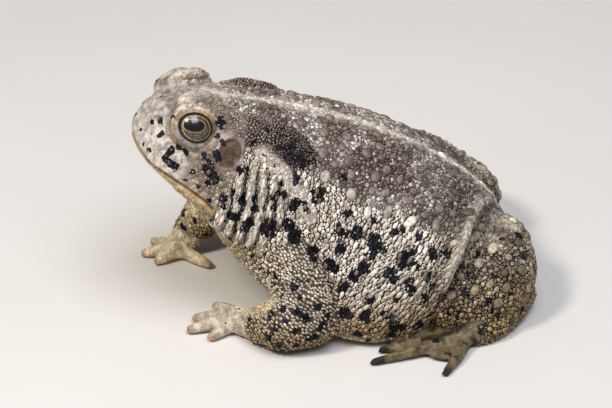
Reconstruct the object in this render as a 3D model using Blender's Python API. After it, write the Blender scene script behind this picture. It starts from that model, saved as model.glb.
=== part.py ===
"""A Woodhouse's toad at life size, as a still museum model: head raised, legs tucked, belly resting.

Trunk and head are one loft along a body axis that climbs from the rump to the snout. Each limb and
digit is a tube of changing radius. Brows, crests, lips, parotoid glands and warts are fused on the
piece that they grow from, and thin cuts part the body where its parts meet.
The toad faces -Y, its left side is +X and it rests on z = 0. Sizes are in millimetres, and y is
counted from the snout backwards, until a mesh is made: meshes are in metres, centred on the floor.
"""
import math

import bmesh
import bpy
import numpy as np
from mathutils import Matrix, Vector
from mathutils.bvhtree import BVHTree

MM = 0.001
GAP = 0.3                      # clear space between neighbouring pieces
PITCH = math.radians(30.0)     # how far the body axis climbs towards the snout
SNOUT_Y = -46.3                # where the snout's reference point stands along Y
SNOUT_Z = 46.0                 # and how high it is carried
NECK_Y = 23.3                  # the upright cut behind the head, counted from the snout
FLOOR_SOFT = 0.8               # how softly flesh turns flat where it meets the floor
RINGS = 27                     # rings along the trunk
RING_POINTS = 32               # points round it
LIMB_POINTS = 11               # points round a limb
DIGIT_POINTS = 6               # points round a finger or toe
SEED = 11

# Along the body axis: station, top, bottom, half width, height of the widest point, and how
# square the upper and lower halves are (2 is an ellipse). Heights are above the axis.
TRUNK = np.array([
    (-1.5, 5.0, 5.0, 0.0, 5.0, 2.2, 2.2),
    (0.0, 10.8, -0.2, 6.2, 3.0, 2.2, 2.2),
    (3.0, 13.2, -2.4, 10.0, 0.8, 2.3, 2.2),
    (6.5, 15.6, -3.5, 12.6, -0.6, 2.3, 2.2),
    (11.5, 17.5, -4.7, 15.1, -1.8, 2.4, 2.2),
    (18.0, 18.9, -6.6, 17.0, -2.8, 2.4, 2.2),
    (25.0, 20.7, -10.6, 18.2, -3.8, 2.6, 2.2),
    (32.5, 22.3, -15.4, 19.8, -4.4, 2.7, 2.2),
    (41.0, 23.7, -18.8, 22.8, -6.2, 2.7, 2.4),
    (50.0, 24.7, -20.6, 27.4, -7.4, 2.5, 2.8),
    (59.0, 25.0, -20.6, 31.0, -6.6, 2.4, 3.2),
    (67.0, 24.8, -18.6, 32.4, -4.4, 2.3, 3.2),
    (74.0, 24.0, -14.6, 31.2, -0.6, 2.3, 3.0),
    (81.0, 22.7, -8.6, 27.0, 4.4, 2.3, 2.4),
    (88.0, 20.4, -3.2, 21.0, 7.0, 2.2, 2.3),
    (94.0, 16.8, 2.0, 14.5, 8.6, 2.0, 2.2),
    (98.0, 13.6, 6.2, 8.5, 9.6, 2.0, 2.0),
    (100.0, 9.8, 9.8, 0.0, 9.8, 2.0, 2.0),
])

# Head features, in the body's own frame: along the axis, sideways and above it.
EYE = (7.8, 9.0, 11.2)
EYE_RADIUS = 4.7
EYE_LOOK = (-0.10, 0.94, 0.32)
EYE_OPENING = (4.9, 4.0)       # half the length and half the height between the lids
LID_REACH = 1.35               # how far out the opening's middle lies, in eye radii
BROW = (8.3, 8.3, 11.0)        # the bulge that holds the eye and its lids
BROW_SIZE = (6.3, 6.4, 6.0)
CREST = [(3.6, 5.2, 14.6, 1.0), (5.6, 5.4, 16.6, 1.3), (8.0, 5.8, 17.7, 1.4), (10.6, 7.4, 17.4, 1.2),
         (13.4, 10.2, 15.6, 1.0), (15.6, 12.0, 12.6, 0.8)]
NOSTRIL = (-0.4, 4.6, 6.8)
NOSTRIL_SIZE = (0.72, 0.55, 0.55)
EARDRUM = (16.8, 14.5, 10.4)
EARDRUM_LOOK = (-0.16, 0.96, 0.22)
EARDRUM_SIZE = (2.6, 3.4, 1.3)  # half its length, half its height and how deep it sits
MOUTH = [(-6.0, -2.2), (2.7, -1.9), (10.7, -1.5), (17.2, -2.5), (24.5, -3.8), (40.0, -6.6)]
LIP = [(1.8, 0.0, -0.8, 0.9), (3.4, 6.8, -0.6, 1.0), (8.0, 12.2, -0.4, 1.1), (15.0, 15.2, -1.2, 1.1),
       (22.0, 16.8, -2.4, 0.9)]
PAROTOID = [(19.0, 8.6, 14.8, 3.2), (23.0, 9.8, 14.9, 4.6), (29.0, 11.2, 15.0, 4.9),
            (34.6, 12.8, 15.0, 3.4)]

# Limbs: points of (x, y, z, radius). The left side is written. The right leg mirrors the left one,
# and the right arm has a pose of its own.
THIGH = [(9.8, 80.6, 13.4, 7.2), (15.0, 77.0, 13.8, 7.9), (21.5, 73.0, 11.4, 8.0), (26.6, 69.8, 7.8, 7.3)]
SHANK = [(27.0, 74.0, 7.0, 6.4), (25.4, 80.0, 8.6, 7.4), (19.6, 83.8, 11.0, 8.0), (12.6, 84.6, 12.4, 7.8)]
TARSUS = [(21.5, 88.0, 4.0, 3.6), (27.5, 83.5, 3.2, 3.2), (32.6, 76.5, 2.6, 3.0), (33.6, 70.0, 2.3, 2.9)]
TOES = [
    [(31.6, 72.5, 2.0, 1.6), (29.8, 68.0, 1.6, 1.3), (29.0, 64.0, 1.1, 1.0)],
    [(32.2, 71.0, 2.0, 1.7), (30.7, 63.0, 1.7, 1.4), (29.9, 56.5, 1.1, 1.0)],
    [(33.0, 70.0, 2.1, 1.8), (33.2, 60.0, 1.8, 1.5), (33.0, 51.0, 1.1, 1.0)],
    [(34.0, 70.0, 2.2, 1.9), (36.4, 58.0, 1.9, 1.5), (37.5, 48.0, 1.1, 1.0)],
    [(34.0, 71.0, 2.2, 1.9), (40.0, 67.4, 1.8, 1.6), (45.6, 62.9, 1.1, 1.0)],
]
TOE_WEB = ((36.2, 65.8, 1.3), (4.6, 5.4, 1.2))
LEFT_ARM = {
    "upper_arm": [(12.5, 36.0, 22.5, 7.2), (18.6, 34.6, 18.0, 7.8), (24.2, 35.6, 11.6, 7.4)],
    "forearm": [(25.2, 36.0, 8.0, 7.2), (25.2, 31.0, 6.6, 6.8), (21.4, 25.4, 4.2, 4.5)],
    "palm": [(20.6, 24.8, 3.6, 3.4), (16.4, 21.4, 2.8, 3.4), (13.4, 19.0, 2.2, 2.9)],
    "fingers": [
        [(13.6, 21.4, 2.1, 1.8), (9.4, 19.8, 1.7, 1.6), (6.2, 17.6, 1.2, 1.1)],
        [(13.4, 19.8, 2.2, 1.9), (11.8, 15.4, 1.8, 1.7), (10.4, 11.8, 1.2, 1.1)],
        [(14.4, 19.2, 2.2, 1.8), (14.6, 13.8, 1.7, 1.6), (15.0, 9.6, 1.2, 1.1)],
        [(15.4, 20.4, 2.0, 1.8), (17.6, 16.6, 1.7, 1.6), (19.2, 13.8, 1.2, 1.1)],
    ],
}
RIGHT_ARM = {
    "upper_arm": [(-12.5, 36.0, 22.5, 7.2), (-19.4, 33.6, 18.4, 7.7), (-25.2, 31.6, 12.6, 7.2)],
    "forearm": [(-26.2, 30.0, 10.6, 6.8), (-25.0, 22.6, 9.4, 5.8), (-22.8, 17.0, 5.4, 4.2)],
    "palm": [(-22.8, 17.0, 4.2, 3.4), (-21.2, 14.0, 3.0, 3.4), (-20.2, 12.4, 2.3, 2.9)],
    "fingers": [
        [(-20.4, 13.4, 2.1, 1.8), (-16.4, 16.4, 1.7, 1.6), (-12.8, 19.4, 1.2, 1.1)],
        [(-20.0, 13.0, 2.2, 1.9), (-18.4, 10.0, 1.8, 1.7), (-17.2, 7.6, 1.2, 1.1)],
        [(-20.8, 12.6, 2.2, 1.8), (-21.2, 8.4, 1.7, 1.6), (-21.6, 5.2, 1.2, 1.1)],
        [(-22.0, 13.4, 2.0, 1.8), (-24.6, 10.6, 1.7, 1.6), (-26.6, 8.4, 1.2, 1.1)],
    ],
}

# Warts by node: how many, the least space between their middles, the range of their radii, the least
# height above the floor, and the least upward turn of the skin that they grow on (-1 faces down).
WARTS = {
    "torso": (78, 5.0, 1.1, 2.0, 7.0, -0.25),
    "upper_arm": (6, 3.8, 0.9, 1.4, 4.0, -0.2),
    "forearm": (6, 3.8, 0.9, 1.4, 4.0, -0.2),
    "thigh": (6, 3.8, 0.9, 1.4, 4.0, -0.2),
    "shank": (9, 4.0, 0.9, 1.6, 4.0, -0.2),
}
WART_TRIES = 40                # places tried for each wart
WART_HEIGHT = 0.62             # a wart's height as a share of its radius
WART_SINK = 0.25               # how far its middle lies below the skin, as a share of its radius

SIDES = (("left", 1), ("right", -1))
CUT_REACH = 150.0              # a cutting block's reach past the body

SKIN_BROWN = (0.30, 0.25, 0.19)
SKIN_CREAM = (0.55, 0.48, 0.36)
EYE_GOLD = (0.45, 0.30, 0.10)
EARDRUM_BROWN = (0.22, 0.15, 0.10)
FINISH = {
    "torso": (SKIN_BROWN, 0.6),
    "head": (SKIN_BROWN, 0.55),
    "eye": (EYE_GOLD, 0.1),
    "eardrum": (EARDRUM_BROWN, 0.5),
}


def steady(stations, values, at):
    """Reads values between stations by a cubic whose slope never overshoots the table's steps."""
    step = np.diff(stations)
    rise = np.diff(values) / step
    slope = np.zeros(len(values))
    same = rise[:-1] * rise[1:] > 0
    harmonic = 2 * rise[:-1] * rise[1:] / np.where(same, rise[:-1] + rise[1:], 1.0)
    slope[1:-1] = np.where(same, harmonic, 0.0)
    slope[0], slope[-1] = rise[0], rise[-1]
    i = np.clip(np.searchsorted(stations, at) - 1, 0, len(step) - 1)
    t = (at - stations[i]) / step[i]
    ease = t * t * (3 - 2 * t)
    enter = t * (1 - t) ** 2 * step[i] * slope[i]
    leave = t * t * (t - 1) * step[i] * slope[i + 1]
    return values[i] * (1 - ease) + values[i + 1] * ease + enter + leave


def power(value, square):
    """The cosine or sine of a superellipse: its sign, with its size raised to 2 / square."""
    return np.sign(value) * np.abs(value) ** (2.0 / square)


def from_body(s, x, t):
    """From the body's frame (along, sideways, above) to millimetres counted from the snout."""
    y = s * math.cos(PITCH) + t * math.sin(PITCH)
    z = SNOUT_Z - s * math.sin(PITCH) + t * math.cos(PITCH)
    return np.stack(np.broadcast_arrays(x, y, z), axis=-1)


def on_floor(points):
    """Presses whatever would dip below the floor flat on it, with a soft edge."""
    flat = np.array(points, float)
    z = flat[..., 2]
    rounded = (z + FLOOR_SOFT) ** 2 / (4 * FLOOR_SOFT)
    flat[..., 2] = np.where(z > FLOOR_SOFT, z, np.where(z < -FLOOR_SOFT, 0.0, rounded))
    return flat


def placed(point):
    """A point counted from the snout, as a Blender vector in metres."""
    return Vector((point[0] * MM, (point[1] + SNOUT_Y) * MM, point[2] * MM))


def mesh_object(name, points, faces):
    """A mesh object from points counted from the snout, in triangles that face outwards."""
    metres = (np.asarray(points, float) + (0.0, SNOUT_Y, 0.0)) * MM
    mesh = bpy.data.meshes.new(name)
    mesh.from_pydata(metres.tolist(), [], faces)
    made = bpy.data.objects.new(name, mesh)
    bpy.context.scene.collection.objects.link(made)
    return settled(made)


def bmesh_object(name, shape):
    """A mesh object from a bmesh, which is freed."""
    mesh = bpy.data.meshes.new(name)
    shape.to_mesh(mesh)
    shape.free()
    made = bpy.data.objects.new(name, mesh)
    bpy.context.scene.collection.objects.link(made)
    return settled(made)


def settled(made, apart=0.0000002):
    """Welds doubles, drops faces without area, triangulates and turns all faces outwards."""
    shape = bmesh.new()
    shape.from_mesh(made.data)
    bmesh.ops.remove_doubles(shape, verts=shape.verts, dist=apart)
    bmesh.ops.dissolve_degenerate(shape, edges=shape.edges, dist=apart)
    bmesh.ops.triangulate(shape, faces=shape.faces)
    bmesh.ops.recalc_face_normals(shape, faces=shape.faces)
    shape.to_mesh(made.data)
    shape.free()
    made.data.update()
    return made


def loft(name, rings, first, last):
    """Joins closed rings into one skin and closes both ends on a point."""
    count, around, _ = rings.shape
    points = np.concatenate([[first], rings.reshape(-1, 3), [last]])
    ring = np.arange(around)
    after = (ring + 1) % around
    row = 1 + np.arange(count - 1)[:, None] * around
    quads = np.stack([row + ring, row + after, row + around + after, row + around + ring], axis=-1)
    start = np.stack([np.zeros(around, int), 1 + after, 1 + ring], axis=-1)
    tail = 1 + (count - 1) * around
    end = np.stack([np.full(around, len(points) - 1), tail + ring, tail + after], axis=-1)
    faces = start.tolist() + quads.reshape(-1, 4).tolist() + end.tolist()
    return mesh_object(name, points, faces)


def trunk_skin(turn, angle):
    """A point of the trunk's skin: turn runs 0 to pi from snout to rump, angle goes round from the top."""
    low, high = TRUNK[0, 0], TRUNK[-1, 0]
    stations = np.arccos(1 - 2 * (TRUNK[:, 0] - low) / (high - low))
    top, bottom, half, widest, upper, lower = (steady(stations, TRUNK[:, k], turn) for k in range(1, 7))
    s = low + (high - low) * (1 - np.cos(turn)) / 2
    above = np.cos(angle) > 0
    square = np.where(above, upper, lower)
    reach = np.where(above, top - widest, widest - bottom)
    t = widest + reach * power(np.cos(angle), square)
    return on_floor(from_body(s, half * power(np.sin(angle), square), t))


def trunk(name):
    """Head and torso as one loft, with rings closer together towards both ends."""
    turn = np.linspace(0, np.pi, RINGS + 2)[1:-1, None]
    angle = np.linspace(0, 2 * np.pi, RING_POINTS, endpoint=False)[None, :]
    rings = trunk_skin(*np.broadcast_arrays(turn, angle))
    ends = [trunk_skin(np.array(turn_end), np.array(0.0)) for turn_end in (0.0, np.pi)]
    return loft(name, rings, *ends)


def limb(name, stations, around=LIMB_POINTS, along=2, grow=0.0, pressed=True):
    """A tube through stations of (x, y, z, radius) with round ends, grown outwards by grow."""
    knots = np.array(stations, float)
    reach = np.concatenate([[0], np.cumsum(np.linalg.norm(np.diff(knots[:, :3], axis=0), axis=1))])
    at = np.linspace(0, reach[-1], along * (len(knots) - 1) + 1)
    path = np.stack([steady(reach, knots[:, k], at) for k in range(4)], axis=-1)
    centre, radius = path[:, :3], path[:, 3:] + grow
    ahead = np.gradient(centre, axis=0)
    ahead /= np.linalg.norm(ahead, axis=1, keepdims=True)
    side = np.cross(ahead, (0.0, 0.0, 1.0))
    side /= np.linalg.norm(side, axis=1, keepdims=True)
    rise = np.cross(side, ahead)
    cap = np.radians([62.0, 32.0])
    index = np.concatenate([[0, 0], np.arange(len(at)), [len(at) - 1] * 2])
    slide = np.concatenate([-np.sin(cap), np.zeros(len(at)), np.sin(cap[::-1])])[:, None]
    shrink = np.concatenate([np.cos(cap), np.ones(len(at)), np.cos(cap[::-1])])[:, None]
    middle = centre[index] + ahead[index] * radius[index] * slide
    angle = np.linspace(0, 2 * np.pi, around, endpoint=False)[None, :, None]
    spoke = np.cos(angle) * side[index][:, None] + np.sin(angle) * rise[index][:, None]
    rings = middle[:, None] + spoke * (radius[index] * shrink)[:, None]
    tips = np.stack([centre[0] - ahead[0] * radius[0], centre[-1] + ahead[-1] * radius[-1]])
    if pressed:
        rings, tips = on_floor(rings), on_floor(tips)
    return loft(name, rings, tips[0], tips[1])


def dome(name, centre, size, turn=Matrix(), segments=12, rings=8):
    """An ellipsoid with half sizes size, its own axes turned by a rotation matrix."""
    shape = bmesh.new()
    bmesh.ops.create_uvsphere(shape, u_segments=segments, v_segments=rings, radius=1.0)
    scale = Matrix.Diagonal((*[v * MM for v in size], 1.0))
    bmesh.ops.transform(shape, matrix=Matrix.Translation(placed(centre)) @ turn.to_4x4() @ scale,
                        verts=shape.verts)
    return bmesh_object(name, shape)


def body_direction(s, x, t):
    """A direction of the body's frame (along, sideways, above) in world axes."""
    return Vector((x, s * math.cos(PITCH) + t * math.sin(PITCH), -s * math.sin(PITCH) + t * math.cos(PITCH)))


def facing(look, sign):
    """The rotation whose Y faces a direction of the body's frame, mirrored where sign is -1, and X aft."""
    out = body_direction(look[0], look[1] * sign, look[2]).normalized()
    along = body_direction(1, 0, 0)
    along = (along - along.dot(out) * out).normalized()
    return Matrix((along, out, along.cross(out))).transposed()


def combine(target, tools, operation):
    """Joins the tools to the target or cuts them from it in one Boolean, then removes them."""
    group = bpy.data.collections.new("tools")
    bpy.context.scene.collection.children.link(group)
    for tool in tools:
        bpy.context.scene.collection.objects.unlink(tool)
        group.objects.link(tool)
    modifier = target.modifiers.new("combine", "BOOLEAN")
    modifier.operand_type = "COLLECTION"
    modifier.collection = group
    modifier.operation = operation
    modifier.solver = "MANIFOLD"
    bpy.context.view_layer.update()
    mesh = bpy.data.meshes.new_from_object(target.evaluated_get(bpy.context.evaluated_depsgraph_get()))
    target.modifiers.clear()
    target.data = mesh
    for tool in tools:
        bpy.data.objects.remove(tool)
    bpy.data.collections.remove(group)
    return largest_surface(settled(target))


def largest_surface(made):
    """Keeps only the largest closed surface of a mesh."""
    shape = bmesh.new()
    shape.from_mesh(made.data)
    left = set(shape.faces)
    best = []
    while left:
        group = [left.pop()]
        for face in group:
            near = {other for edge in face.edges for other in edge.link_faces} & left
            left -= near
            group.extend(near)
        if len(group) > len(best):
            best = group
    drop = [face for face in shape.faces if face not in set(best)]
    bmesh.ops.delete(shape, geom=drop, context="FACES")
    shape.to_mesh(made.data)
    shape.free()
    return made


def prism(name, outline, half_width):
    """A solid whose outline is drawn in the body's frame (along, above) and which spans both sides."""
    count = len(outline)
    sides = [from_body(np.array([p[0] for p in outline]), x, np.array([p[1] for p in outline]))
             for x in (-half_width, half_width)]
    ring = list(range(count))
    walls = [[i, (i + 1) % count, (i + 1) % count + count, i + count] for i in ring]
    return mesh_object(name, np.concatenate(sides), [ring[::-1], [i + count for i in ring], *walls])


def mirrored(stations, sign):
    """The same stations on the other side where sign is -1."""
    return [(x * sign, *rest) for x, *rest in stations]


def body_path(stations, sign):
    """Stations in the body's frame (along, sideways, above, radius) turned to x, y, z, radius."""
    return [(*from_body(s, x * sign, t), r) for s, x, t, r in stations]


def block(name, low, high):
    """A box between two corners counted from the snout."""
    shape = bmesh.new()
    bmesh.ops.create_cube(shape, size=1.0)
    size = [(b - a) * MM for a, b in zip(low, high)]
    middle = [(a + b) / 2 for a, b in zip(low, high)]
    bmesh.ops.transform(shape, matrix=Matrix.Translation(placed(middle)) @ Matrix.Diagonal((*size, 1.0)),
                        verts=shape.verts)
    return bmesh_object(name, shape)


def copied(made, name):
    """A second object with its own copy of a mesh."""
    other = bpy.data.objects.new(name, made.data.copy())
    bpy.context.scene.collection.objects.link(other)
    return other


def warts_on(node, others, rng, number, apart, small, large, low, upward):
    """Fuses seeded domes on a node's skin, clear of each other and of the other nodes."""
    mesh = node.data
    normals = np.array([tuple(face.normal) for face in mesh.polygons])
    areas = np.array([face.area for face in mesh.polygons])
    near = [BVHTree.FromPolygons([v.co for v in o.data.vertices], [p.vertices[:] for p in o.data.polygons])
            for o in others]
    kept = []
    tools = []
    for index in rng.choice(len(areas), size=WART_TRIES * number, p=areas / areas.sum()):
        corners = np.array([tuple(mesh.vertices[v].co) for v in mesh.polygons[index].vertices])
        spot = rng.dirichlet((1.0, 1.0, 1.0)) @ corners
        radius = (small + (large - small) * rng.random() ** 2) * MM
        if len(kept) == number or spot[2] < low * MM or normals[index][2] < upward:
            continue
        if any(np.linalg.norm(spot - other) < apart * MM for other in kept):
            continue
        if any(tree.find_nearest(Vector(spot), radius + 2 * GAP * MM)[0] for tree in near):
            continue
        kept.append(spot)
        tools.append(wart(spot, Vector(normals[index]), radius))
    return combine(node, tools, "UNION")


def wart(spot, normal, radius):
    """A low dome on the skin at a point in metres, sunk a little, flat side down."""
    shape = bmesh.new()
    bmesh.ops.create_uvsphere(shape, u_segments=6, v_segments=3, radius=1.0)
    turn = normal.to_track_quat("Z", "Y").to_matrix().to_4x4()
    size = Matrix.Diagonal((radius, radius, radius * (WART_HEIGHT + WART_SINK), 1.0))
    place = Matrix.Translation(Vector(spot) - normal * radius * WART_SINK)
    bmesh.ops.transform(shape, matrix=place @ turn @ size, verts=shape.verts)
    return bmesh_object("wart", shape)


def painted(made, colour, roughness):
    """Gives a sub-part its own plain material and smooth shading."""
    material = bpy.data.materials.new(made.name + "_skin")
    material.use_nodes = True
    shader = material.node_tree.nodes["Principled BSDF"]
    shader.inputs["Base Color"].default_value = (*colour, 1.0)
    shader.inputs["Roughness"].default_value = roughness
    shader.inputs["Metallic"].default_value = 0.0
    made.data.materials.clear()
    made.data.materials.append(material)
    made.data.shade_smooth()
    made.data.set_sharp_from_angle(angle=math.radians(40.0))
    return made


def make_trunk():
    """The trunk with what is raised on it: brows, crests, lips and parotoid glands."""
    body = trunk("torso")
    raised = []
    for _, sign in SIDES:
        brow = from_body(BROW[0], BROW[1] * sign, BROW[2])
        raised.append(dome("brow", brow, BROW_SIZE, facing(EYE_LOOK, sign)))
        raised.append(limb("crest", body_path(CREST, sign), around=6, pressed=False))
        raised.append(limb("lip", body_path(LIP, sign), around=5, pressed=False))
        raised.append(limb("parotoid", body_path(PAROTOID, sign), around=10, pressed=False))
    return combine(body, raised, "UNION")


def eye_cutter(sign):
    """The eye's socket and the opening between the lids, as two overlapping tools."""
    centre = from_body(EYE[0], EYE[1] * sign, EYE[2])
    turn = facing(EYE_LOOK, sign)
    outside = centre + np.array(turn.col[1]) * EYE_RADIUS * LID_REACH
    socket = dome("socket", centre, (EYE_RADIUS + GAP,) * 3)
    opening = dome("opening", outside, (EYE_OPENING[0], EYE_RADIUS, EYE_OPENING[1]), turn)
    return [socket, opening]


def eardrum(name, sign, grow=0.0):
    """A flat oval disc on the cheek, grown outwards by grow."""
    centre = from_body(EARDRUM[0], EARDRUM[1] * sign, EARDRUM[2])
    long, tall, deep = (half + grow for half in EARDRUM_SIZE)
    return dome(name, centre, (long, deep, tall), facing(EARDRUM_LOOK, sign), segments=10, rings=6)


def make_head(body):
    """Cuts the head from the trunk, then the lower jaw from the head, and adds eyes and eardrums."""
    head = copied(body, "head")
    behind = NECK_Y - GAP / 2
    cutters = [block("behind", (-CUT_REACH, behind, -CUT_REACH), (CUT_REACH, CUT_REACH, CUT_REACH))]
    combine(head, cutters, "DIFFERENCE")
    made = []
    cutters = []
    for side, sign in SIDES:
        made.append(dome("eye_" + side, from_body(EYE[0], EYE[1] * sign, EYE[2]), (EYE_RADIUS,) * 3))
        made.append(eardrum("eardrum_" + side, sign))
        cutters.extend(eye_cutter(sign))
        cutters.append(eardrum("recess", sign, grow=GAP))
        nostril = from_body(NOSTRIL[0], NOSTRIL[1] * sign, NOSTRIL[2])
        cutters.append(dome("nostril", nostril, NOSTRIL_SIZE, segments=8, rings=6))
    combine(head, cutters, "DIFFERENCE")
    jaw = copied(head, "lower_jaw")
    under = [(MOUTH[-1][0], -CUT_REACH), (MOUTH[0][0], -CUT_REACH)]
    combine(jaw, [prism("below", MOUTH + under, CUT_REACH)], "INTERSECT")
    lifted = [(s, t + GAP) for s, t in MOUTH]
    combine(head, [prism("below", lifted + under, CUT_REACH)], "DIFFERENCE")
    return [head, jaw, *made]


def make_leg(side, sign):
    """A folded hind leg: thigh, shank and foot, each cut back by the one that it grows from."""
    thigh = limb("thigh_" + side, mirrored(THIGH, sign))
    shank = limb("shank_" + side, mirrored(SHANK, sign))
    combine(shank, [limb("thigh", mirrored(THIGH, sign), grow=GAP, pressed=False)], "DIFFERENCE")
    foot = limb("foot_" + side, mirrored(TARSUS, sign), around=8)
    toes = [limb("toe", mirrored(toe, sign), around=DIGIT_POINTS) for toe in TOES]
    (x, y, z), web_size = TOE_WEB
    combine(foot, [*toes, dome("web", (x * sign, y, z), web_size, segments=9, rings=4)], "UNION")
    leg = [limb("leg", mirrored(part, sign), grow=GAP, pressed=False) for part in (THIGH, SHANK)]
    combine(foot, leg, "DIFFERENCE")
    return [thigh, shank, foot]


def make_arm(side, arm):
    """An arm: upper arm, forearm and hand, each cut back by the one that it grows from."""
    upper = limb("upper_arm_" + side, arm["upper_arm"])
    fore = limb("forearm_" + side, arm["forearm"])
    combine(fore, [limb("upper", arm["upper_arm"], grow=GAP, pressed=False)], "DIFFERENCE")
    hand = limb("hand_" + side, arm["palm"], around=8)
    combine(hand, [limb("finger", finger, around=DIGIT_POINTS) for finger in arm["fingers"]], "UNION")
    combine(hand, [limb("fore", arm["forearm"], grow=GAP, pressed=False)], "DIFFERENCE")
    return [upper, fore, hand]


def limb_room(sign, arm):
    """The space that one side's limbs need in the torso, a gap wider than the limbs."""
    leg = [mirrored(part, sign) for part in (THIGH, SHANK, TARSUS, *TOES)]
    return [limb("room", part, grow=GAP, pressed=False) for part in (*leg, arm["upper_arm"], arm["forearm"])]


def make_toad():
    """Builds every sub-part, warts last."""
    body = make_trunk()
    parts = make_head(body)
    ahead = NECK_Y + GAP / 2
    combine(body, [block("front", (-CUT_REACH,) * 3, (CUT_REACH, ahead, CUT_REACH))], "DIFFERENCE")
    for (side, sign), arm in zip(SIDES, (LEFT_ARM, RIGHT_ARM)):
        combine(body, limb_room(sign, arm), "DIFFERENCE")
        parts += make_leg(side, sign)
        parts += make_arm(side, arm)
    parts.append(body)
    rng = np.random.default_rng(SEED)
    for node in parts:
        kind = node.name.removesuffix("_left").removesuffix("_right")
        if kind in WARTS:
            warts_on(node, [other for other in parts if other is not node], rng, *WARTS[kind])
        painted(node, *FINISH.get(kind, (SKIN_CREAM, 0.6)))


for old in list(bpy.data.objects):
    bpy.data.objects.remove(old)
make_toad()
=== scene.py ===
# %% [markdown]
# A Woodhouse's toad at life size. The solids that carry this model are already packed: they have the
# toad's true size, pose and parts. This notebook puts the looks on them. One soft skin replaces all
# the nodes of flesh, thousands of small glands stand on it, and two glossy eyes sit between the lids.
# The first cell loads the solids as a fixed frame and keeps their box, which the skin never leaves.

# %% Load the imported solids
import math

import bmesh
import bpy
import numpy as np
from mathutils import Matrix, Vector
from mathutils.bvhtree import BVHTree
from mathutils.kdtree import KDTree


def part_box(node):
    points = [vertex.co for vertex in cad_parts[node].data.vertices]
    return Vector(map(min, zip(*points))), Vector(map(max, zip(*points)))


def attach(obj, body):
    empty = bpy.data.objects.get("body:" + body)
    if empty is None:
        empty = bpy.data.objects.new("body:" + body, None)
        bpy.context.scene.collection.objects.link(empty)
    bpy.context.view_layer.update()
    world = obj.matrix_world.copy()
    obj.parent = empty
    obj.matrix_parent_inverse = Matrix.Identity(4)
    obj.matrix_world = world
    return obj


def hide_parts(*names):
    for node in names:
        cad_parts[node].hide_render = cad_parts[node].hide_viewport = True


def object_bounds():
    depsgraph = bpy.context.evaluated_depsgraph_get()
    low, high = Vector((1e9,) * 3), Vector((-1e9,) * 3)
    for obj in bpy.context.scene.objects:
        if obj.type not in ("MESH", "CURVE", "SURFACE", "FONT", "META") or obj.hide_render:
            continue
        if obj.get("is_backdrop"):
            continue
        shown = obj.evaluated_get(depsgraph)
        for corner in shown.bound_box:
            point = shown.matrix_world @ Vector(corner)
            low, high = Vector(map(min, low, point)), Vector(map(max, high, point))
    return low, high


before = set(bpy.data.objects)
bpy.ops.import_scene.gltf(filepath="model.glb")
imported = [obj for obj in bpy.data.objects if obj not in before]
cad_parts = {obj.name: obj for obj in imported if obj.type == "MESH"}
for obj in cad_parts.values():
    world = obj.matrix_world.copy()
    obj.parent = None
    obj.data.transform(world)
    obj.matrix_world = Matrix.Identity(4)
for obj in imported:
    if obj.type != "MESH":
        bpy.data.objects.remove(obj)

cad_low, cad_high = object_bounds()
print("solids from", [round(v, 4) for v in cad_low], "to", [round(v, 4) for v in cad_high])

# %% [markdown]
# The toad faces -Y and its left side is +X. Every size below is in millimetres. Depth from front to
# back is counted from the snout, as the solids were drawn, so the eye's node tells where the snout is.
# The trunk climbs towards the snout by a fixed angle, and its own frame has three axes: along the
# body, sideways, and above it. Two functions turn places between that frame and the room.

# %% Frames of reference
MM = 0.001
PITCH = math.radians(30.0)
SNOUT_Z = 46.0
EYE = (7.8, 9.0, 11.2)
EYE_RADIUS = 4.7


def from_body(s, x, t):
    """From the body's frame (along, sideways, above) to x, y from the snout, z: a turn by PITCH."""
    y = s * math.cos(PITCH) + t * math.sin(PITCH)
    z = SNOUT_Z - s * math.sin(PITCH) + t * math.cos(PITCH)
    return np.stack(np.broadcast_arrays(x, y, z), axis=-1)


def to_body(points):
    """The other way: (along, sideways, above) of points in x, y from the snout, z."""
    rise = points[..., 2] - SNOUT_Z
    s = points[..., 1] * math.cos(PITCH) - rise * math.sin(PITCH)
    t = points[..., 1] * math.sin(PITCH) + rise * math.cos(PITCH)
    return np.stack([s, points[..., 0], t], axis=-1)


def body_direction(s, x, t):
    """A unit direction of the body's frame in the room's axes."""
    way = from_body(s, x, t) - from_body(0.0, 0.0, 0.0)
    return way / np.linalg.norm(way)


eye_low, eye_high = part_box("eye_left")
SNOUT_Y = (eye_low.y + eye_high.y) / 2 / MM - from_body(*EYE)[1]
print("snout stands at y", round(SNOUT_Y, 2), "mm, eye radius", round((eye_high.x - eye_low.x) / 2 / MM, 2))

# %% [markdown]
# The skin must fit the solids, so it starts from the same driving sizes: a table of sections along the
# trunk and a few stations along each limb. A cubic that never overshoots reads the sizes in between.

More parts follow.
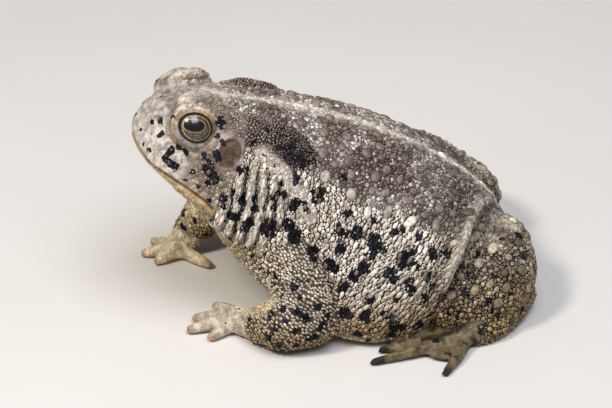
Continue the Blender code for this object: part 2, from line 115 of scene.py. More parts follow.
# %% Driving sizes of the body
# Along the body axis: station, top, bottom, half width, height of the widest point, and how square
# the upper and lower halves are (2 is an ellipse). Heights are above the axis.
TRUNK = np.array([
    (-1.5, 5.0, 5.0, 0.0, 5.0, 2.2, 2.2),
    (0.0, 10.8, -0.2, 6.2, 3.0, 2.2, 2.2),
    (3.0, 13.2, -2.4, 10.0, 0.8, 2.3, 2.2),
    (6.5, 15.6, -3.5, 12.6, -0.6, 2.3, 2.2),
    (11.5, 17.5, -4.7, 15.1, -1.8, 2.4, 2.2),
    (18.0, 18.9, -6.6, 17.0, -2.8, 2.4, 2.2),
    (25.0, 20.7, -10.6, 18.2, -3.8, 2.6, 2.2),
    (32.5, 22.3, -15.4, 19.8, -4.4, 2.7, 2.2),
    (41.0, 23.7, -18.8, 22.8, -6.2, 2.7, 2.4),
    (50.0, 24.7, -20.6, 27.4, -7.4, 2.5, 2.8),
    (59.0, 25.0, -20.6, 31.0, -6.6, 2.4, 3.2),
    (67.0, 24.8, -18.6, 32.4, -4.4, 2.3, 3.2),
    (74.0, 24.0, -14.6, 31.2, -0.6, 2.3, 3.0),
    (81.0, 22.7, -8.6, 27.0, 4.4, 2.3, 2.4),
    (88.0, 20.4, -3.2, 21.0, 7.0, 2.2, 2.3),
    (94.0, 16.8, 2.0, 14.5, 8.6, 2.0, 2.2),
    (98.0, 13.6, 6.2, 8.5, 9.6, 2.0, 2.0),
    (100.0, 9.8, 9.8, 0.0, 9.8, 2.0, 2.0),
])
BROW = (8.3, 8.3, 11.0)
BROW_SIZE = (6.3, 6.4, 6.0)
EYE_LOOK = (-0.10, 0.94, 0.32)
CREST = [(3.6, 5.2, 14.6, 1.0), (5.6, 5.4, 16.6, 1.3), (8.0, 5.8, 17.7, 1.4), (10.6, 7.4, 17.4, 1.2),
         (13.4, 10.2, 15.6, 1.0), (15.6, 12.0, 12.6, 0.8)]
LIP = [(1.8, 0.0, -0.8, 0.9), (3.4, 6.8, -0.6, 1.0), (8.0, 12.2, -0.4, 1.1), (15.0, 15.2, -1.2, 1.1),
       (22.0, 16.8, -2.4, 0.9)]
PAROTOID = [(19.0, 8.6, 14.8, 3.2), (23.0, 9.8, 14.9, 4.6), (29.0, 11.2, 15.0, 4.9),
            (34.6, 12.8, 15.0, 3.4)]
THIGH = [(9.8, 80.6, 13.4, 7.2), (15.0, 77.0, 13.8, 7.9), (21.5, 73.0, 11.4, 8.0), (26.6, 69.8, 7.8, 7.3)]
SHANK = [(27.0, 74.0, 7.0, 6.4), (25.4, 80.0, 8.6, 7.4), (19.6, 83.8, 11.0, 8.0), (12.6, 84.6, 12.4, 7.8)]
TARSUS = [(21.5, 88.0, 4.0, 3.6), (27.5, 83.5, 3.2, 3.2), (32.6, 76.5, 2.6, 3.0), (33.6, 70.0, 2.3, 2.9)]
TOES = [
    [(31.6, 72.5, 2.0, 1.6), (29.8, 68.0, 1.6, 1.3), (29.0, 64.0, 1.1, 1.0)],
    [(32.2, 71.0, 2.0, 1.7), (30.7, 63.0, 1.7, 1.4), (29.9, 56.5, 1.1, 1.0)],
    [(33.0, 70.0, 2.1, 1.8), (33.2, 60.0, 1.8, 1.5), (33.0, 51.0, 1.1, 1.0)],
    [(34.0, 70.0, 2.2, 1.9), (36.4, 58.0, 1.9, 1.5), (37.5, 48.0, 1.1, 1.0)],
    [(34.0, 71.0, 2.2, 1.9), (40.0, 67.4, 1.8, 1.6), (45.6, 62.9, 1.1, 1.0)],
]
TOE_WEB = ((36.2, 65.8, 1.3), (4.6, 5.4, 1.2))
LEFT_ARM = {
    "upper": [(12.5, 36.0, 22.5, 7.2), (18.6, 34.6, 18.0, 7.8), (24.2, 35.6, 11.6, 7.4)],
    "fore": [(25.2, 36.0, 8.0, 7.2), (25.2, 31.0, 6.6, 6.8), (21.4, 25.4, 4.2, 4.5)],
    "palm": [(20.6, 24.8, 3.6, 3.4), (16.4, 21.4, 2.8, 3.4), (13.4, 19.0, 2.2, 2.9)],
    "fingers": [
        [(13.6, 21.4, 2.1, 1.8), (9.4, 19.8, 1.7, 1.6), (6.2, 17.6, 1.2, 1.1)],
        [(13.4, 19.8, 2.2, 1.9), (11.8, 15.4, 1.8, 1.7), (10.4, 11.8, 1.2, 1.1)],
        [(14.4, 19.2, 2.2, 1.8), (14.6, 13.8, 1.7, 1.6), (15.0, 9.6, 1.2, 1.1)],
        [(15.4, 20.4, 2.0, 1.8), (17.6, 16.6, 1.7, 1.6), (19.2, 13.8, 1.2, 1.1)],
    ],
}
RIGHT_ARM = {
    "upper": [(-12.5, 36.0, 22.5, 7.2), (-19.4, 33.6, 18.4, 7.7), (-25.2, 31.6, 12.6, 7.2)],
    "fore": [(-26.2, 30.0, 10.6, 6.8), (-25.0, 22.6, 9.4, 5.8), (-22.8, 17.0, 5.4, 4.2)],
    "palm": [(-22.8, 17.0, 4.2, 3.4), (-21.2, 14.0, 3.0, 3.4), (-20.2, 12.4, 2.3, 2.9)],
    "fingers": [
        [(-20.4, 13.4, 2.1, 1.8), (-16.4, 16.4, 1.7, 1.6), (-12.8, 19.4, 1.2, 1.1)],
        [(-20.0, 13.0, 2.2, 1.9), (-18.4, 10.0, 1.8, 1.7), (-17.2, 7.6, 1.2, 1.1)],
        [(-20.8, 12.6, 2.2, 1.8), (-21.2, 8.4, 1.7, 1.6), (-21.6, 5.2, 1.2, 1.1)],
        [(-22.0, 13.4, 2.0, 1.8), (-24.6, 10.6, 1.7, 1.6), (-26.6, 8.4, 1.2, 1.1)],
    ],
}


def mirrored(stations, sign):
    """The same stations on the other side where sign is -1."""
    return [(x * sign, *rest) for x, *rest in stations]


def body_path(stations, sign):
    """Stations in the body's frame (along, sideways, above, radius) as x, y, z, radius."""
    return [(*from_body(s, x * sign, t), r) for s, x, t, r in stations]


arms = {1: LEFT_ARM, -1: RIGHT_ARM}
legs = {sign: [mirrored(part, sign) for part in (THIGH, SHANK)] for sign in arms}
feet = {sign: [mirrored(part, sign) for part in (TARSUS, *TOES)] for sign in arms}
print(len(TRUNK), "trunk sections,", len(TOES), "toes on each foot")

# %% Surfaces from the driving sizes
FLOOR_SOFT = 0.8                # the height over which the flesh bends to the floor
TUBE_COLUMNS = 28               # points round a limb


def steady(stations, values, at):
    """A cubic between stations. Its slope at each is the harmonic mean of the slopes on both sides, so
    it never overshoots."""
    step = np.diff(stations)
    rise = np.diff(values) / step
    slope = np.zeros(len(values))
    same = rise[:-1] * rise[1:] > 0
    harmonic = 2 * rise[:-1] * rise[1:] / np.where(same, rise[:-1] + rise[1:], 1.0)
    slope[1:-1] = np.where(same, harmonic, 0.0)
    slope[0], slope[-1] = rise[0], rise[-1]
    i = np.clip(np.searchsorted(stations, at) - 1, 0, len(step) - 1)
    t = (at - stations[i]) / step[i]
    ease = t * t * (3 - 2 * t)
    enter = t * (1 - t) ** 2 * step[i] * slope[i]
    leave = t * t * (t - 1) * step[i] * slope[i + 1]
    return values[i] * (1 - ease) + values[i + 1] * ease + enter + leave


def power(value, square):
    """The cosine or sine of a superellipse: its sign, with its size raised to 2 / square."""
    return np.sign(value) * np.abs(value) ** (2.0 / square)


def on_floor(points):
    """Presses what would dip below the floor flat on it: a parabola joins the flesh to the flat."""
    flat = np.array(points, float)
    z = flat[..., 2]
    rounded = (z + FLOOR_SOFT) ** 2 / (4 * FLOOR_SOFT)
    flat[..., 2] = np.where(z > FLOOR_SOFT, z, np.where(z < -FLOOR_SOFT, 0.0, rounded))
    return flat


def trunk_skin(turn, angle):
    """The trunk: turn runs 0 to pi from snout to rump, angle round it from the top. Each section is a
    superellipse whose upper and lower halves have their own height and squareness."""
    low, high = TRUNK[0, 0], TRUNK[-1, 0]
    stations = np.arccos(1 - 2 * (TRUNK[:, 0] - low) / (high - low))
    top, bottom, half, widest, upper, lower = (steady(stations, TRUNK[:, k], turn) for k in range(1, 7))
    s = low + (high - low) * (1 - np.cos(turn)) / 2
    above = np.cos(angle) > 0
    square = np.where(above, upper, lower)
    reach = np.where(above, top - widest, widest - bottom)
    t = widest + reach * power(np.cos(angle), square)
    return on_floor(from_body(s, half * power(np.sin(angle), square), t))


print("the trunk's ridge at its middle:", trunk_skin(np.array([np.pi / 2]), np.array([0.0])).round(1))


# %% Limbs, domes and closed shells
def knots_of(stations):
    """Stations as an array, and how far along the path each one lies."""
    knots = np.array(stations, float)
    return knots, np.concatenate([[0], np.cumsum(np.linalg.norm(np.diff(knots[:, :3], axis=0), axis=1))])


def tube_skin(stations, along, angle):
    """A limb: a circle carried along the path through its stations, its radius read from them too, with
    half a sphere at each end. along is 0 to 1 on the path, and -1 to 0 and 1 to 2 on the end caps."""
    knots, reach = knots_of(stations)
    fine = np.linspace(0, 1, 33)
    path = np.stack([steady(reach, knots[:, k], fine * reach[-1]) for k in range(4)], axis=-1)
    on_path = np.clip(along, 0, 1)
    centre = np.stack([np.interp(on_path, fine, path[:, k]) for k in range(3)], axis=-1)
    radius = np.interp(on_path, fine, path[:, 3])[..., None]
    slope = np.gradient(path[:, :3], axis=0)
    ahead = np.stack([np.interp(on_path, fine, slope[:, k]) for k in range(3)], axis=-1)
    ahead /= np.linalg.norm(ahead, axis=-1, keepdims=True)
    side = np.cross(ahead, (0.0, 0.0, 1.0))
    side /= np.linalg.norm(side, axis=-1, keepdims=True)
    rise = np.cross(side, ahead)
    past = (np.clip(along - 1, 0, 1) - np.clip(-along, 0, 1))[..., None] * np.pi / 2
    spoke = np.cos(angle)[..., None] * side + np.sin(angle)[..., None] * rise
    return centre + radius * (np.sin(past) * ahead + np.cos(past) * spoke)


def dome_skin(centre, size, turn, angle):
    """An ellipsoid: turn runs 0 to pi from its top, angle round it, with half sizes along X, Y and Z."""
    around = np.stack([np.sin(turn) * np.cos(angle), np.sin(turn) * np.sin(angle), np.cos(turn)], axis=-1)
    return np.array(centre) + around * np.array(size)


def grid(skin, rows, around):
    """Reads a surface on a grid of rows by columns. The first and the last row each shrink to a pole."""
    row = np.array(rows, float)[:, None]
    angle = np.linspace(0, 2 * np.pi, around, endpoint=False)[None, :]
    return skin(*np.broadcast_arrays(row, angle))


def closed_shell(rings):
    """Points and faces of a closed shell: a pole, rings of quads, and a pole."""
    count, around, _ = rings[1:-1].shape
    points = np.concatenate([rings[0, :1], rings[1:-1].reshape(-1, 3), rings[-1, :1]])
    ring = np.arange(around)
    after = (ring + 1) % around
    row = 1 + np.arange(count - 1)[:, None] * around
    quads = np.stack([row + ring, row + around + ring, row + around + after, row + after], axis=-1)
    start = np.stack([np.zeros(around, int), 1 + ring, 1 + after], axis=-1)
    tail = 1 + (count - 1) * around
    end = np.stack([np.full(around, len(points) - 1), tail + after, tail + ring], axis=-1)
    return points, start.tolist() + quads.reshape(-1, 4).tolist() + end.tolist()


def tube_grid(stations, pressed=True):
    """A limb's shell: a row for each millimetre or so, and five rows on each round end."""
    length = knots_of(stations)[1][-1]
    rows = np.concatenate([np.linspace(-1, 0, 6)[:-1], np.linspace(0, 1, int(length) + 3),
                           np.linspace(1, 2, 6)[1:]])
    rings = grid(lambda row, angle: tube_skin(stations, row, angle), rows, TUBE_COLUMNS)
    return on_floor(rings) if pressed else rings


trunk_rings = grid(trunk_skin, np.linspace(0, np.pi, 90), 96)
print("trunk shell", trunk_rings.shape, "thigh shell", tube_grid(THIGH).shape)

# %% [markdown]
# The real skin runs over every part without a seam, so the shells have to melt into one. A Boolean
# would leave long thin triangles at each crossing. A voxel remesh gives even quads instead, which can
# be smoothed and raised later. It cuts thin parts coarsely, so the fingers get help from the smoothing,
# which moves each point to the middle of its neighbours and then part of the way back, and so rounds
# corners without shrinking the flesh.

# %% Melt the shells into one skin
VOXEL = 0.64
RELAX, RELAX_BACK = 0.52, -0.54


def brow_grid(sign):
    """The bulge of flesh round an eye, an ellipsoid in the body's own axes."""
    def skin(turn, angle):
        local = dome_skin((0.0, 0.0, 0.0), BROW_SIZE, turn, angle)
        return from_body(BROW[0] + local[..., 0], (BROW[1] + local[..., 1]) * sign, BROW[2] + local[..., 2])
    return grid(skin, np.linspace(0, np.pi, 18), 28)


def shells():
    """Every shell of the body's flesh, in millimetres."""
    yield trunk_rings
    for sign, arm in arms.items():
        yield brow_grid(sign)
        for ridge in (CREST, LIP, PAROTOID):
            yield tube_grid(body_path(ridge, sign), pressed=False)
        for part in (*legs[sign], *feet[sign], arm["upper"], arm["fore"], arm["palm"], *arm["fingers"]):
            yield tube_grid(part)
        (x, y, z), size = TOE_WEB
        yield on_floor(grid(lambda turn, angle: dome_skin((x * sign, y, z), size, turn, angle),
                            np.linspace(0, np.pi, 8), 24))


def in_scene(name, data):
    """A new object of that data, linked to the scene."""
    made = bpy.data.objects.new(name, data)
    bpy.context.scene.collection.objects.link(made)
    return made


def outward(mesh):
    """Turns all faces of a closed mesh outwards."""
    shape = bmesh.new()
    shape.from_mesh(mesh)
    bmesh.ops.recalc_face_normals(shape, faces=shape.faces)
    shape.to_mesh(mesh)
    shape.free()


def melted(shell_list):
    """One mesh of even quads round all the shells together."""
    points, faces, start = [], [], 0
    for rings in shell_list:
        shell_points, shell_faces = closed_shell(rings)
        points.append(shell_points)
        faces += [[corner + start for corner in face] for face in shell_faces]
        start += len(shell_points)
    mesh = bpy.data.meshes.new("shells")
    mesh.from_pydata((np.concatenate(points) * MM).tolist(), [], faces)
    outward(mesh)
    holder = in_scene("shells", mesh)
    remesh = holder.modifiers.new("melt", "REMESH")
    remesh.mode = "VOXEL"
    remesh.voxel_size = VOXEL * MM
    evaluated = holder.evaluated_get(bpy.context.evaluated_depsgraph_get())
    result = bpy.data.meshes.new_from_object(evaluated)
    bpy.data.objects.remove(holder)
    return result


def read(owner, name, width, kind=float):
    """Reads one property of a mesh's vertices, edges or faces into an array of that width."""
    values = np.empty(len(owner) * width, kind)
    owner.foreach_get(name, values)
    return values.reshape(-1, width) if width > 1 else values


def neighbour_mean(points, edges):
    """The middle of each point's neighbours, by counting every edge from both ends."""
    ends, others = np.concatenate([edges, edges[:, ::-1]]).T
    count = np.bincount(ends, minlength=len(points))
    total = np.stack([np.bincount(ends, points[others, k], len(points)) for k in range(3)], axis=1)
    return total / count[:, None]


def relaxed(points, edges, rounds, weight=1.0):
    """Smooths by a step towards the neighbours and a slightly longer step back, which keeps the volume."""
    for _ in range(rounds):
        for share in (RELAX, RELAX_BACK):
            points = points + share * weight * (neighbour_mean(points, edges) - points)
    return points


skin_mesh = melted(shells())
skin_points = read(skin_mesh.vertices, "co", 3) / MM
skin_points = relaxed(skin_points, read(skin_mesh.edges, "vertices", 2, int), 6)
skin_mesh.vertices.foreach_set("co", (skin_points * MM).ravel())
print("melted skin", len(skin_mesh.vertices), "points")

# %% [markdown]
# The head gets the most care, so its quads are split once more before the fine forms go in. The eye
# sits in a round opening. Skin inside the opening is tucked behind the eyeball, and the rim is raised
# into two lids that hug the ball. Both follow from one number at each point: how many times its
# distance from the eye's middle is the size of the opening, measured square to the eye's gaze.

# %% Split the head's quads
HEAD_ENDS = 25.0                # how far back the head's quads reach
HEAD_BASE = 16.0                # the throat's lowest point that counts as head


def split_head(mesh):
    """Splits each quad of the head into four."""
    shape = bmesh.new()
    shape.from_mesh(mesh)
    edges = [edge for edge in shape.edges
             if all(v.co.y < HEAD_ENDS * MM and v.co.z > HEAD_BASE * MM for v in edge.verts)]
    bmesh.ops.subdivide_edges(shape, edges=edges, cuts=1, use_grid_fill=True)
    bmesh.ops.triangulate(shape, faces=[f for f in shape.faces if len(f.verts) > 4])
    shape.to_mesh(mesh)
    shape.free()


split_head(skin_mesh)
skin_points = read(skin_mesh.vertices, "co", 3) / MM
skin_edges = read(skin_mesh.edges, "vertices", 2, int)
skin_points = relaxed(skin_points, skin_edges, 3)
print("skin with a finer head:", len(skin_points), "points,",
      sum(len(p.vertices) - 2 for p in skin_mesh.polygons), "triangles")


# %% Measures on the skin
HASH_PRIMES = np.array([73856093, 19349663, 83492791])    # they scatter the numbers of the cells
HASH_SEED, HASH_MIX = 2654435761, 1274126177
LOW_16_BITS, LOW_32_BITS = 0xFFFF, 0xFFFFFFFF
AXIS_SAMPLES = 10               # points at which a limb's axis is measured


def smooth_step(value, low, high):
    """0 below low, 1 above high, and an s-shaped curve between."""
    share = np.clip((value - low) / (high - low), 0, 1)
    return share * share * (3 - 2 * share)


def bump(value, width):
    """A bell curve of height 1 round 0, with that width."""
    return np.exp(-(value / width) ** 2)


def value_noise(points, size, seed):
    """Smooth noise from 0 to 1: a random number on each corner of a grid of cells, blended inside."""
    cell = points / size
    base = np.floor(cell).astype(np.int64)
    share = cell - base
    share = share * share * (3 - 2 * share)
    total = np.zeros(points.shape[:-1])
    for corner in np.ndindex(2, 2, 2):
        mixed = np.bitwise_xor.reduce((base + corner) * HASH_PRIMES, axis=-1) ^ seed * HASH_SEED
        mixed = (mixed ^ (mixed >> 13)) * HASH_MIX & LOW_32_BITS
        weight = np.prod(np.where(corner, share, 1 - share), axis=-1)
        total += weight * ((mixed ^ (mixed >> 16)) & LOW_16_BITS) / LOW_16_BITS
    return total


def layered_noise(points, size, seed):
    """Three layers of noise, each half as large and half as strong as the last."""
    return sum(value_noise(points, size / 2 ** k, seed + k) / 2 ** k for k in range(3)) / 1.75


def along_path(points, stations):
    """How far along a limb's axis each point lies, and how far outside the limb's surface it is."""
    knots, reach = knots_of(stations)
    at = np.linspace(0, reach[-1], AXIS_SAMPLES)
    path = np.stack([*(steady(reach, knots[:, k], at) for k in range(4)), at], axis=-1)
    step = np.diff(path, axis=0)
    apart = points[:, None] - path[None, :-1, :3]
    share = np.clip((apart * step[:, :3]).sum(-1) / (step[:, :3] ** 2).sum(-1), 0, 1)
    radius = path[:-1, 3] + share * step[:, 3]
    gap = np.linalg.norm(apart - share[..., None] * step[:, :3], axis=-1) - radius
    best = gap.argmin(axis=1)
    row = np.arange(len(points))
    return path[best, 4] + share[row, best] * step[best, 4], gap[row, best]


def vertex_normals(points):
    """Unit normals of the skin: each point adds up its faces' normals, and large faces count more."""
    a, b, c = (points[skin_triangles[:, k]] for k in range(3))
    face = np.cross(b - a, c - a)
    total = np.stack([sum(np.bincount(skin_triangles[:, k], face[:, axis], len(points)) for k in range(3))
                      for axis in range(3)], axis=1)
    return total / np.linalg.norm(total, axis=1, keepdims=True)


def triangles_of(mesh):
    """The corners of each triangle that Blender makes of the mesh's faces."""
    mesh.calc_loop_triangles()
    return read(mesh.loop_triangles, "vertices", 3, int)


skin_triangles = triangles_of(skin_mesh)
skin_normals = vertex_normals(skin_points)
print("normals point outwards:", bool((skin_normals[:, 2] * (skin_points[:, 2] - 20) > 0).mean() > 0.6))


# %% Tuck the skin behind the eye and raise the lids
OPENING = (3.9, 3.25)           # half the length and half the height of the opening
LID_PROUD = 0.28                # how far the rim stands out from the ball
LID_SLACK = 0.55                # and how much further where the lid leaves it
LID_TUCK = 0.9                  # how far the skin goes in behind the ball
LID_WIDTH = 1.7
FAR_OFF = 9.0                   # a share that stands for any place away from the form


def facing(look, sign):
    """A look on the left side or mirrored, as a direction, and the way aft that is square to it."""
    gaze = body_direction(look[0], look[1] * sign, look[2])
    aft = body_direction(1, 0, 0)
    aft = aft - aft @ gaze * gaze
    return gaze, aft / np.linalg.norm(aft)


def eye_axes(sign):
    """The eye's middle, and three axes: aft along the head, up between the lids, out along the gaze."""
    gaze, aft = facing(EYE_LOOK, sign)
    up = np.cross(gaze, aft) * sign
    return from_body(EYE[0], EYE[1] * sign, EYE[2]), np.stack([aft, -up if up[2] < 0 else up, gaze])


def lids(points):
    """Pulls the skin near each eye to the ball, tucks it behind the ball inside the opening, and rounds
    the rim. Also gives each point's distance from the eye's middle in openings, and its height there."""
    points = points.copy()
    nearness = np.full(len(points), FAR_OFF)
    below = np.zeros(len(points))
    for sign in arms:
        middle, axes = eye_axes(sign)
        local = (points - middle) @ axes.T
        share = np.hypot(local[:, 0] / OPENING[0], local[:, 1] / OPENING[1])
        near = (local[:, 2] > 0) & (share < 3)
        out = local[near, 2]
        from_axis = np.hypot(local[near, 0], local[near, 1])
        ball = np.sqrt(np.maximum(EYE_RADIUS ** 2 - from_axis ** 2, 0.0))
        hug = smooth_step(share[near], 1.0 + LID_WIDTH / OPENING[1], 1.0)
        rim = np.minimum(out, ball + LID_PROUD + LID_SLACK * (1 - hug))
        local[near, 2] = np.where(share[near] < 1.0, ball - LID_TUCK, out * (1 - hug) + rim * hug)
        points[near] = middle + local[near] @ axes
        nearness = np.where(near, share, nearness)
        below = np.where(near, local[:, 1], below)
    return points, nearness, below


skin_points, eye_share, eye_height = lids(skin_points)
skin_normals = vertex_normals(skin_points)
print("points behind the eyeballs:", int((eye_share < 1).sum()))

# %% [markdown]
# The photograph was taken from the toad's left, a little in front of square and 30 degrees above, with
# a long lens. The camera stands the same way, so a place in the photograph's frame of 612 by 408 is a
# ray through the scene. Spots and folds that the photograph shows are written as such places, and land
# where their rays meet the skin. Their sizes stay in millimetres.

# %% Camera
AZIMUTH, ELEVATION = math.radians(77.0), math.radians(30.0)
CAMERA_AWAY = 600.0
AIM = np.array([15.74, 37.16, 31.95])
LENS, SENSOR = 153.54, 36.0
FRAME_WIDE, FRAME_HIGH = 612, 408
EYE_SEEN = (194, 127)

to_camera = np.array([math.sin(AZIMUTH) * math.cos(ELEVATION), -math.cos(AZIMUTH) * math.cos(ELEVATION),
                      math.sin(ELEVATION)])
camera_at = AIM + to_camera * CAMERA_AWAY
camera_right = np.cross(-to_camera, (0.0, 0.0, 1.0))
camera_right /= np.linalg.norm(camera_right)
camera_up = np.cross(camera_right, -to_camera)


def in_room(points):
    """From millimetres counted from the snout to metres in the room."""
    return (np.asarray(points, float) + (0.0, SNOUT_Y, 0.0)) * MM


def make_camera():
    """A long lens at the photograph's angle."""
    camera = in_scene("camera", bpy.data.cameras.new("camera"))
    camera.data.lens = LENS
    camera.data.sensor_width = SENSOR
    camera.location = in_room(camera_at)
    camera.rotation_mode = "QUATERNION"
    camera.rotation_quaternion = Vector(-to_camera).to_track_quat("-Z", "Y")
    bpy.context.scene.camera = camera


def seen(places):
    """Where the rays through places in the photograph's frame meet the skin, in millimetres."""
    focal = LENS / SENSOR * FRAME_WIDE
    found = []
    for x, y in places:
        right = camera_right * (x - FRAME_WIDE / 2) / focal
        up = camera_up * (FRAME_HIGH / 2 - y) / focal
        hit = skin_tree.ray_cast(Vector(camera_at), Vector(-to_camera + right + up).normalized())[0]
        found.append(tuple(hit) if hit else (np.nan,) * 3)
    return np.array(found)


make_camera()
skin_tree = BVHTree.FromPolygons(skin_points.tolist(), skin_triangles.tolist())
print("the ray through the eye meets the skin at", seen([EYE_SEEN]).round(1))

# %% [markdown]
# Loose skin folds where it is pushed together: across the bent arms, behind the eardrum, and in a roll
# that runs from the hip down in front of the knee. Each fold is a height added along the skin's normal.
# A row of folds is a cosine of the distance along the body or the limb, and a single fold is a bell
# curve round a path.

# %% Places and sizes of the folds and the small forms
EARDRUM = (16.8, 14.5, 10.4)
EARDRUM_LOOK = (-0.16, 0.96, 0.22)
EARDRUM_HALF = (2.6, 3.3)
ARM_FOLD = 1.30                 # from one fold of the arm to the next
NECK_FOLD = 2.7
ARM_LIFT, NECK_LIFT, GLAND_LIFT, HIP_LIFT, STREAK_LIFT = 0.20, 0.60, 0.35, 1.7, 0.6
LID_LIFT, DRUM_RIM, DRUM_SINK, NOSTRIL_SINK, NOSTRIL_RIM, LIP_LIFT, MOUTH_SINK = (
    0.35, 0.32, 0.4, 0.7, 0.22, 0.22, 0.45)
HIP_FOLD = [(488, 200), (478, 203), (470, 214), (464, 230), (458, 248), (449, 268), (441, 286)]
HIP_FOLD_HALF = 0.45
TOE_SLIM = 0.4                  # what the toes lose at their sides and top
CREASES = [
    # places in the photograph's frame, depth, width, whether the far side has it too
    ([(492, 204), (484, 215), (476, 228), (469, 244), (462, 262), (452, 284), (441, 304), (431, 326)],
     0.9, 0.9, True),
    ([(300, 238), (318, 258), (330, 282), (334, 305), (331, 326)], 0.8, 0.7, False),
    ([(266, 291), (285, 284), (305, 281), (324, 282)], 0.6, 0.6, False),
]
NOSTRIL_SEEN = (150, 121)
NOSTRIL_TILT = (0.54, -0.84)    # the slot's long way: back and down
NOSTRIL_HALF = (0.72, 0.46)
# where the snout slopes, how far it goes in, and how wide
SNOUT_SEEN, SNOUT_SLOPE, SNOUT_WIDE = (147, 104), 1.3, 6.5
# the mouth's line in the photograph's frame, from the tip of the snout back
MOUTH = [(141, 148), (146, 158), (153, 166), (162, 172), (174, 180), (186, 188), (198, 196), (209, 205),
         (216, 213)]
GLAND_STREAK = [(262, 152), (275, 163), (288, 178), (300, 196), (309, 216)]
GLAND_STREAK_HALF = 1.15
print("eardrum, nostril, mouth, folds and", len(CREASES), "creases have their places")


# %% Where every point of the skin lies
def seen_path(places, radius, sign):
    """A path on the skin through places in the photograph's frame, on the left side or mirrored."""
    return [(x * sign, y, z, radius) for x, y, z in seen(places) if not math.isnan(x)]


def disc_share(points, place, look, half, sign):
    """How many half sizes from a disc's middle each point lies, measured in the disc's own plane."""
    gaze, aft = facing(look, sign)
    local = points - from_body(place[0], place[1] * sign, place[2])
    share = np.hypot(local @ aft / half[0], local @ np.cross(gaze, aft) / half[1])
    return np.where((local @ gaze > -3) & (points[:, 0] * sign > 0), share, FAR_OFF)


along, side, above = to_body(skin_points).T
flesh = {}                      # how far along each limb, and how far outside it, every point lies
for sign, arm in arms.items():
    limbs = {name: arm[name] for name in ("upper", "fore", "palm")}
    for name, stations in {**limbs, "thigh": legs[sign][0], "shank": legs[sign][1]}.items():
        flesh[sign, name] = along_path(skin_points, stations)


def on_limb(sign, name, soft=1.2):
    """1 on that limb's skin and 0 away from it."""
    return smooth_step(flesh[sign, name][1], soft, 0.2)


def nearest_of(points, paths):
    """The least distance outside any of several tubes, and how far along that one as a share."""
    found = [along_path(points, path) for path in paths]
    gaps = np.stack([gap for _, gap in found])
    shares = np.stack([far / max(far.max(), 1e-6) for far, _ in found])
    best = gaps.argmin(axis=0)
    row = np.arange(len(points))
    return gaps[best, row], shares[best, row]


def least_gap(path_of):
    """How far outside the nearer of a path and its mirror image each point of the skin lies."""
    return np.minimum(*(along_path(skin_points, path_of(sign))[1] for sign in arms))


def skin_noise(size, seed):
    """Layered noise at the points of the skin as it stands."""
    return layered_noise(skin_points, size, seed)


finger_gap, finger_share = nearest_of(skin_points, [f for arm in arms.values() for f in arm["fingers"]])
toe_gap, toe_share = nearest_of(skin_points, [mirrored(toe, sign) for sign in arms for toe in TOES])
tarsus_gap, tarsus_share = nearest_of(skin_points, [mirrored(TARSUS, sign) for sign in arms])
eardrum_share = np.minimum(*(disc_share(skin_points, EARDRUM, EARDRUM_LOOK, EARDRUM_HALF, sign)
                             for sign in arms))
from_nostril = np.column_stack([np.abs(skin_points[:, 0]), skin_points[:, 1:]]) - seen([NOSTRIL_SEEN])[0]
slot = camera_right * NOSTRIL_TILT[0] + camera_up * NOSTRIL_TILT[1]
slot_share = np.hypot(from_nostril @ slot / NOSTRIL_HALF[0],
                      from_nostril @ np.cross(slot, to_camera) / NOSTRIL_HALF[1])
slot_share = np.where(np.linalg.norm(from_nostril, axis=1) < 4, slot_share, FAR_OFF)
# the first place seen gives the mouth's height at the tip of the snout, where two more points take over
mouth_at = seen_path(MOUTH, 0.0, 1)
lip_z = mouth_at[0][2]
at_tip = (np.abs(skin_points[:, 0]) < 0.6) & (np.abs(skin_points[:, 2] - lip_z) < 0.6)
mouth_at = [(0.0, skin_points[at_tip, 1].min(), lip_z, 0.0), (4.2, 0.2, lip_z - 0.4, 0.0), *mouth_at[1:]]
mouth_body = to_body(np.array(mouth_at)[:, :3])
mouth_body = mouth_body[np.argsort(mouth_body[:, 0])]
over_lip = above - np.interp(along, mouth_body[:, 0], mouth_body[:, 2])
lip_gap = least_gap(lambda sign: mirrored(mouth_at, sign))
crest_gap = least_gap(lambda sign: body_path(CREST, sign))
gland_gap = least_gap(lambda sign: body_path(PAROTOID, sign))
hip_gap = least_gap(lambda sign: seen_path(HIP_FOLD, HIP_FOLD_HALF, sign))
streak_gap = least_gap(lambda sign: seen_path(GLAND_STREAK, GLAND_STREAK_HALF, sign))

# creased: the creases' hollows, which get painted shade and fewer glands
creased = np.zeros(len(along))
crease_lift = np.zeros(len(along))
for places, depth, width, both in CREASES:
    for sign in (1, -1) if both else (1,):
        gap = along_path(skin_points, seen_path(places, 0.0, sign))[1]
        creased = np.maximum(creased, bump(gap, width * 0.7))
        crease_lift = np.minimum(crease_lift, -depth * bump(gap, width))

print("eardrums, mouth, crests, folds and", len(CREASES), "creases measured at", len(along), "points")

# %% Which part of the body each point belongs to
on_arm = np.max([on_limb(sign, name) for sign in arms for name in ("upper", "fore")], axis=0)
on_thigh = np.max([on_limb(sign, "thigh") for sign in arms], axis=0)
on_shank = np.max([on_limb(sign, "shank") for sign in arms], axis=0)
on_digit = smooth_step(np.minimum(finger_gap, toe_gap), 1.2, 0.3)
on_hand = np.maximum(smooth_step(np.minimum(*(flesh[sign, "palm"][1] for sign in arms)), 1.0, 0.2),
                     smooth_step(finger_gap, 1.2, 0.3))
web_middle, web_half = np.array(TOE_WEB)
web_share = np.minimum(*(np.linalg.norm((skin_points - web_middle * (sign, 1, 1)) / (web_half + 1.2),
                                        axis=1) for sign in arms))
on_tarsus = smooth_step(tarsus_gap, 1.0, 0.2)
on_foot = on_tarsus * smooth_step(tarsus_share, 0.75, 0.92)
on_foot = np.max([on_foot, smooth_step(toe_gap, 1.2, 0.3), smooth_step(web_share, 1.15, 0.95)], axis=0)
